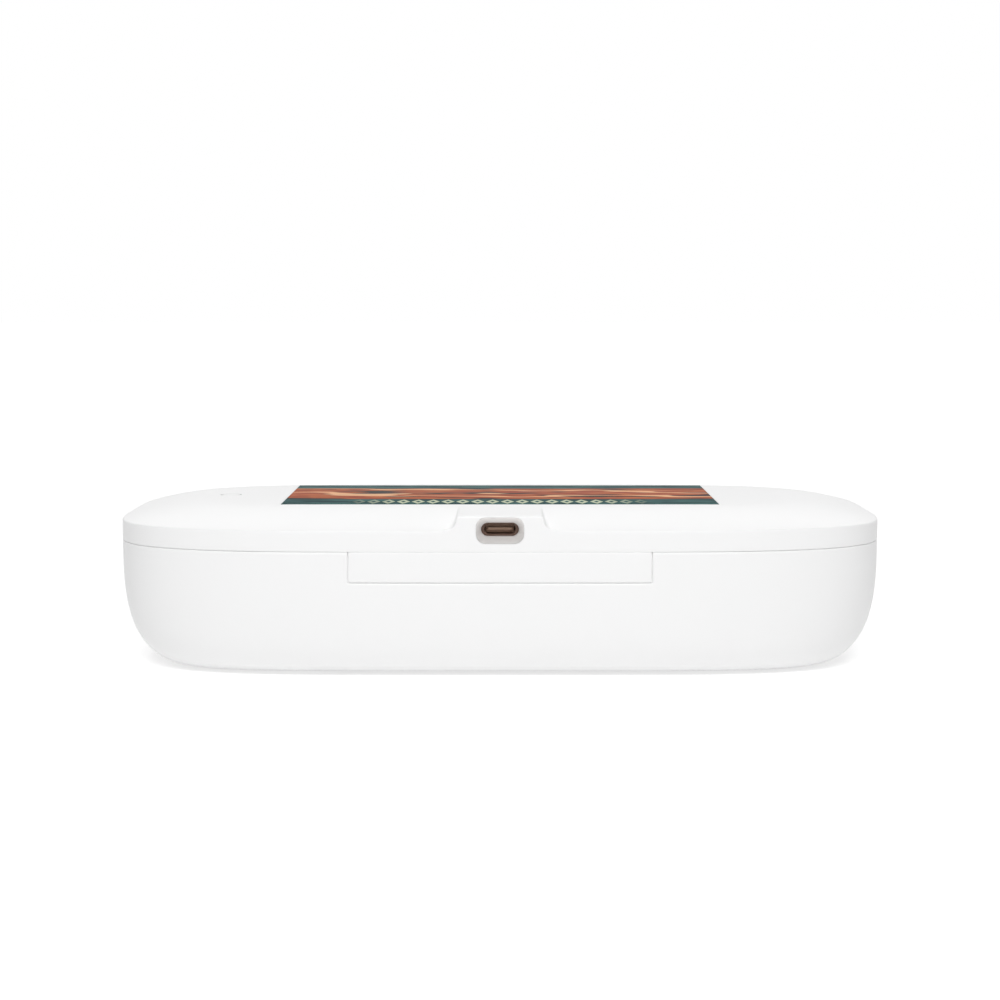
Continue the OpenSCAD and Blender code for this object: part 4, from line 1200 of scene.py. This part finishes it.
def buildTray(t):
    top, low, inset, wall, fold = t["flangeTop"], t["flangeLow"], t["flangeInset"], t["wall"], t["foldEdge"]
    rings = [centreRing(t["floor"]), chamberRing(t["floorInset"], t["floor"])]
    rings += filletRings(0, t["floor"], t["floorRadius"])
    rings += [chamberRing(0, t["floor"] + (top - t["floor"]) * share) for share in t["wallRows"]]
    rings += chamberRings(*highRound(top, t["lip"]))
    rings += outlineRings((inset + t["edge"], top), (inset, top - t["edge"]), (inset, low))
    rings += chamberRings((wall + fold, low), (wall, low - fold))
    rings += filletRings(wall, t["under"], t["underRadius"])[::-1]
    rings += [chamberRing(t["floorInset"], t["under"]), centreRing(t["under"])]
    obj = carve(skinRings("chamberTray", rings), [boxMesh("hingeRoom", *t["hingeRoom"])])

    def columns(name, places, radius, start, end):
        return [columnMesh(name, place.x, place.y, radius, start, end) for place in places]
    screws, magnets = middles("base_screws"), middles("base_magnets")
    carve(obj, columns("boss", screws, t["bossRadius"], t["bossLow"], t["under"] + t["bossLap"])
          + columns("cup", magnets, t["cupRadius"], low - t["cupDepth"], low + t["cupLap"]), "UNION")
    return carve(obj, columns("pilot", screws, t["pilot"], 0, t["under"] - t["pilotRoof"])
                 + columns("magnetSeat", magnets, t["magnet"], t["magnetFrom"], low))


finishPiece(buildTray(tray), "base", "liner", ["inner_tray"])

pan = dict(gap=0.1, sheet=0.5, floor=13.1, top=33.6, radius=1.8, floorInset=-12, rimIn=0.15, rimDown=0.1)


def buildPan(p):
    outer, inner = -p["gap"], -p["gap"] - p["sheet"]
    below, above, top = p["floor"], p["floor"] + p["sheet"], p["top"]
    rings = [centreRing(below), chamberRing(p["floorInset"], below)] + filletRings(outer, below, p["radius"])
    rings += chamberRings((outer, top - p["rimDown"]), (outer - p["rimIn"], top))
    rings += chamberRings((inner + p["rimIn"], top), (inner, top - p["rimDown"]))
    rings += filletRings(inner, above, p["radius"] - p["sheet"])[::-1]
    rings += [chamberRing(p["floorInset"], above), centreRing(above)]
    return skinRings("reflectingPan", rings)


finishPiece(buildPan(pan), "base", "reflector", ["tray_reflector"])

rib = dict(width=2.4, length=60.0, height=2.6, edge=0.7)


def buildRibs(r):
    wide, long, high, edge = r["width"], r["length"], r["height"], r["edge"]
    levels = [(0.0, 0.0), (0.0, high - edge)] + highRound(high, edge)[1:]
    bar = solidFromRings("rib", [
        [(x, y, z) for x, _, y in slotRing(wide - 2 * inset, long - 2 * inset, wide / 2 - inset, 0, 0)]
        for inset, z in levels
    ])
    return repeatAt("phoneRibs", bar, feet("phone_rests"), "clear_rest")


finishPiece(buildRibs(rib), "base", "clear_rest", ["phone_rests"], angle=50)
print("chamber built")


# Hinge.

finishPiece(refined("hingeBracket", "hinge_bracket", 0.16), "base", "hinge_steel", ["hinge_bracket"])
finishPiece(refined("hingePin", "hinge_pin", 0.2), "base", "steel", ["hinge_pin"])

arm = dict(at=29.0, edge=0.2, reliefHalf=4.0, reliefLow=(49.13, 33.1), reliefHigh=(51.0, 34.75))

# A relief in each arm passes the cover's crown when the lid is open.
for side, sx in (("left", -1), ("right", 1)):
    node, at = "hinge_arm_" + side, sx * arm["at"]
    half = arm["reliefHalf"]
    notch = boxMesh("relief", (at - half, *arm["reliefLow"]), (at + half, *arm["reliefHigh"]))
    piece = carve(refined("hingeArm" + side.capitalize(), node, arm["edge"]), [notch])
    finishPiece(piece, "lid", "hinge_steel", [node])


# Screws, each set one piece repeated at the places of the CAD screws.

screwSets = [  # name, node, body, head radius, head height, shank radius, shank length, sideways
    ("baseScrews", "base_screws", "base", 2.7, 1.6, 1.23, 7.0, False),
    ("bracketScrews", "bracket_screws", "base", 2.1, 1.5, 0.93, 4.6, True),
    ("armScrews", "arm_screws", "lid", 2.1, 0.8, 0.93, 3.8, False),
    ("linerScrews", "liner_screws", "lid", 1.9, 0.7, 0.93, 4.4, False),
]
boardScrew = dict(head=1.8, headHeight=0.8, shank=0.93)
screw = dict(
    crown=0.4, crownMost=0.5, crownCurve=(0.3, 0.4), sides=28,  # the rounded edge of the head, in shares
    pitch=0.55, thread=0.16, threadFrom=0.3, plainTip=1.2, taper=((0.9, 0.5), (0.45, 0.0)),
    recessWide=0.55, recessReach=0.62, recessDepth=0.55,
)


def screwPiece(head, headHeight, shank, length):  # its head hangs below z = 0
    crown = min(headHeight * screw["crown"], screw["crownMost"])
    curveIn, curveUp = (crown * share for share in screw["crownCurve"])
    profile = [(0, -headHeight), (head - crown, -headHeight), (head - curveIn, -headHeight + curveUp)]
    profile += [(head, -headHeight + crown), (head, 0), (shank, 0), (shank, screw["threadFrom"])]
    z = screw["threadFrom"]
    while z < length - screw["plainTip"]:
        profile += [(shank - screw["thread"], z + screw["pitch"] / 2), (shank, z + screw["pitch"])]
        z += screw["pitch"]
    profile += [(shank * share, length - back) for share, back in screw["taper"]] + [(0, length)]
    piece = turned("screw", profile, sides=screw["sides"])
    half, reach = screw["recessWide"] / 2, head * screw["recessReach"]
    depth = -headHeight + headHeight * screw["recessDepth"]
    slots = ((half, reach), (reach, half))
    return carve(piece, [boxMesh("recess", (-a, -b, -headHeight - 1), (a, b, depth)) for a, b in slots])


for name, node, body, head, headHeight, shank, length, sideways in screwSets:
    piece = screwPiece(head, headHeight, shank, length)
    if sideways:
        piece.data.transform(Matrix.Rotation(math.pi / 2, 4, "X"))
    seats = []
    for low, high in islands(node):
        mid = (low + high) / 2
        seats.append((mid.x, high.y - headHeight, mid.z) if sideways else (mid.x, mid.y, low.z + headHeight))
    finishPiece(repeatAt(name, piece, seats, "steel"), body, "steel", [node])

boardScrews = sorted(islands("board_screws"), key=lambda pair: pair[1].z - pair[0].z)
low, high = boardScrews[0]  # the shortest, so that no tip comes out of its boss
headHeight = boardScrew["headHeight"]
piece = screwPiece(boardScrew["head"], headHeight, boardScrew["shank"], high.z - low.z - headHeight)
seats = [((low.x + high.x) / 2, (low.y + high.y) / 2, low.z + headHeight) for low, high in boardScrews]
finishPiece(repeatAt("boardScrews", piece, seats, "steel"), "lid", "steel", ["board_screws"])
print("hinge and screws built")


# Lid liner, its reflector and the lamps.

liner = dict(
    inset=2.5, low=35.6, high=37.0, edge=0.2, middleInset=-14, lipOuter=-1.2, lipInner=-2.4, lipLow=34.0,
    aperture=(30.0, 9.0), apertureRadius=1.5, hole=1.15, seat=2.1, seatTop=36.3, through=(30, 40),
    armRoom=((25.6, 45.2, 34.0), (32.4, 50.1, 38.0)),
)


def buildLiner(n):
    e, low, high, foot, inset = n["edge"], n["low"], n["high"], n["lipLow"], n["inset"]
    inner, outer = n["lipInner"], n["lipOuter"]
    rings = [centreRing(low)]
    rings += chamberRings(
        (n["middleInset"], low), (inner - e, low), (inner, low - e), (inner, foot + e), (inner + e, foot),
        (outer - e, foot), (outer, foot + e), (outer, low - e), (outer + e, low),
    )
    rings += outlineRings((inset + e, low), (inset, low + e), (inset, high - e), (inset + e, high))
    rings += [chamberRing(n["middleInset"], high), centreRing(high)]
    cuts = windows("aperture", n["aperture"], n["apertureRadius"], n["through"])
    (x0, y0, z0), (x1, y1, z1) = n["armRoom"]
    cuts += [boxMesh("armRoom", (left, y0, z0), (right, y1, z1)) for left, right in ((-x1, -x0), (x0, x1))]
    start, end = n["through"]
    for x, y, _ in feet("liner_screws"):
        cuts.append(columnMesh("screwHole", x, y, n["hole"], start, end, 32))
        cuts.append(columnMesh("screwSeat", x, y, n["seat"], start, n["seatTop"], 32))
    return carve(skinRings("lidLiner", rings), cuts + [swingSpace(hinge)])


finishPiece(buildLiner(liner), "lid", "liner", ["lid_liner"])

mirror = dict(
    grow=-2.5, low=35.15, high=35.55, edge=0.1, middleInset=-12.5,
    opening=(31.0, 10.0), openingRadius=1.6, through=(30, 40),
)


def buildMirror(m):
    grow, low, high, middle = m["grow"], m["low"], m["high"], m["middleInset"]
    rings = [centreRing(low)]
    rings += chamberRings((middle, low), (grow - m["edge"], low), (grow, low + m["edge"]))
    rings += chamberRings((grow, high), (middle, high)) + [centreRing(high)]
    openings = windows("opening", m["opening"], m["openingRadius"], m["through"])
    return carve(skinRings("lidReflector", rings), openings)


finishPiece(buildMirror(mirror), "lid", "reflector", ["lid_reflector"])

lamp = dict(size=3.5, base=0.55, lens=1.35, height=1.0, edge=0.12, lensSteps=8, lensSink=0.1)


def buildLamps(l):
    half, top, drop = l["size"] / 2, l["height"], l["height"] - l["base"]
    body = softenEdges(boxMesh("lampBody", (-half, -half, drop), (half, half, top)), l["edge"])
    profile = [(l["lens"] * math.sin(t), drop - drop * math.cos(t)) for t in quarterTurn(l["lensSteps"])]
    inside = drop + l["lensSink"]
    lens = turned("lens", profile + [(l["lens"], inside), (0, inside)], sides=32)
    return repeatAt("lampRow", carve(body, [lens], "UNION"), feet("uv_leds"), "lamp")


finishPiece(buildLamps(lamp), "lid", "lamp", ["uv_leds"], angle=50)
print("liner and lamps built")


# Charging coil: a flat spiral of enamelled wire.

coil = dict(inner=10.45, outer=20.55, turns=10.0, wire=0.47, flatten=1.22, z=42.0, steps=72, sides=10)


def coilTree():
    g, v = startTree("coilWinding", {
        "Float": ("Inner Radius", "Outer Radius", "Turns", "Wire Radius", "Flatten", "Height"),
        "Int": ("Steps", "Sides"), "Material": ("Finish",),
    })
    path = g.add("GeometryNodeCurveSpiral", {}, {
        "Resolution": v["Steps"], "Rotations": v["Turns"], "Start Radius": v["Inner Radius"],
        "End Radius": v["Outer Radius"], "Height": 0.0,
    })
    wire = sweep(g, path, v["Sides"], v["Wire Radius"])
    stretch = g.add("ShaderNodeCombineXYZ", {}, {0: 1.0, 1: 1.0, 2: v["Flatten"]})
    lift = g.add("ShaderNodeCombineXYZ", {}, {2: v["Height"]})
    placed = g.add("GeometryNodeTransform", {}, {"Geometry": wire, "Scale": stretch, "Translation": lift})
    return endTree(g, placed, v["Finish"])


winding = runTree("chargingCoil", coilTree(), {
    "Inner Radius": coil["inner"] * mm, "Outer Radius": coil["outer"] * mm, "Turns": coil["turns"],
    "Wire Radius": coil["wire"] * mm, "Flatten": coil["flatten"], "Height": coil["z"] * mm,
    "Steps": coil["steps"], "Sides": coil["sides"], "Finish": materials["copper"],
})
applyModifiers(winding)
tidyMesh(winding.data)
finishPiece(winding, "lid", "copper", ["charging_coil"], angle=60)


# Leads: one tree sweeps a round wire along the edges of the object that carries it.

leads = dict(radius=0.44, sides=14, startY=21.1, endY=24.25, keyPitch=1.3)


def leadTree():
    g, v = startTree("leadSkin", {
        "Geometry": ("Route",), "Float": ("Radius",), "Int": ("Sides",), "Material": ("Finish",),
    })
    route = g.add("GeometryNodeMeshToCurve", {}, {"Mesh": v["Route"]})
    smooth = g.add("GeometryNodeCurveSplineType", {"spline_type": "CATMULL_ROM"}, {"Curve": route})
    return endTree(g, sweep(g, smooth, v["Sides"], v["Radius"]), v["Finish"])


leadSkin = leadTree()


def buildLeads(name, routes, n):
    obj = runTree(name, leadSkin, {
        "Radius": n["radius"] * mm, "Sides": n["sides"], "Finish": materials["wire"],
    })
    points, edges = [], []
    for route in routes:
        start = len(points)
        points += [tuple(c * mm for c in p) for p in route]
        edges += [(start + k, start + k + 1) for k in range(len(route) - 1)]
    obj.data.from_pydata(points, edges, [])
    applyModifiers(obj)
    tidyMesh(obj.data)
    return obj


coilRoutes = [
    [(sx * 1.2, leads["startY"], 42), (sx * 1.2, 22, 41.8), (sx * 1.1, 23.2, 41), (sx, leads["endY"], 40.3)]
    for sx in (-1, 1)
]
lampRoutes = [
    [(sx * (26 + 1.6 * k), 3, 40.6), (sx * (25.8 + 1.6 * k), 6, 40.2), (sx * (25 + 1.6 * k), 12, 39.4),
     (sx * (22 + 1.6 * k), 18 + k, 39.2), (sx * (17 + 1.1 * k), 22.2 + 0.3 * k, 39.8),
     (sx * (15.4 + 1.2 * k), leads["endY"], 40.3)]
    for sx in (-1, 1) for k in (0, 1)
]
keyRoute = [
    (69.8, 4, 39.5), (66, 7.5, 38.8), (56, 12, 38.4), (42, 20, 38.5), (30, 29.5, 39.6), (23.25, 32.5, 40.4),
]
keyRoutes = [[(x, y + leads["keyPitch"] * k, z) for x, y, z in keyRoute] for k in (-1, 0, 1)]
for name, node, routes in (("coilLeads", "coil_leads", coilRoutes), ("lampLeads", "uv_leads", lampRoutes),
                           ("keyLeads", "key_leads", keyRoutes)):
    finishPiece(buildLeads(name, routes, leads), "lid", "wire", [node], angle=60)
print("coil and leads built")


# Boards and what stands on them.

can = dict(
    radius=2.0, height=2.5, edge=0.2, groove=0.6, grooveHalf=0.2, grooveDepth=0.15,
    topBend=0.3, rimEnd=2, dipFrom=2.4, topDip=0.08,  # the first three in shares of the edge
)


def buildCans(c):
    r, h, e, dip = c["radius"], c["height"], c["edge"], c["height"] - c["topDip"]
    groove, half = c["groove"], c["grooveHalf"]
    profile = [(0, 0), (r - e, 0), (r, e), (r, groove - half), (r - c["grooveDepth"], groove)]
    profile += [(r, groove + half), (r, h - e), (r - e * c["topBend"], h - e * c["topBend"]), (r - e, h)]
    profile += [(r - e * c["rimEnd"], h), (r - e * c["dipFrom"], dip), (0, dip)]
    return repeatAt("capacitorCans", turned("can", profile, sides=40), feet("capacitors"), "capacitor")


finishPiece(buildCans(can), "lid", "capacitor", ["capacitors"])

for name, node, body, slot, width in (
        ("mainBoard", "main_board", "lid", "board", 0.06),
        ("keyBoard", "key_board", "lid", "board", 0.06),
        ("lampBoardLeft", "uv_board_left", "lid", "lamp_board", 0.06),
        ("lampBoardRight", "uv_board_right", "lid", "lamp_board", 0.06),
        ("lampWindowLeft", "uv_window_left", "lid", "quartz", 0.12),
        ("lampWindowRight", "uv_window_right", "lid", "quartz", 0.12),
        ("driverChips", "driver_chips", "lid", "chip", 0.1),
        ("powerInductors", "power_inductors", "lid", "ferrite", 0.4),
        ("wireConnectors", "wire_connectors", "lid", "connector", 0.25),
        ("tactSwitch", "tact_switch", "lid", "chip", 0.12),
        ("lidSensor", "lid_sensor", "lid", "chip", 0.12),
        ("ferritePlate", "ferrite_plate", "lid", "ferrite", 0.08),
        ("lidMagnets", "lid_magnets", "lid", "magnet", 0.2),
        ("baseMagnets", "base_magnets", "base", "magnet", 0.2)):
    finishPiece(refined(name, node, width), body, slot, [node])

for part in frame["record"]["subparts"]:  # the plain CAD solids get the same materials
    mesh = frame["nodes"][part["node"]].data
    mesh.materials.clear()
    mesh.materials.append(materials[part["material_slot"]])
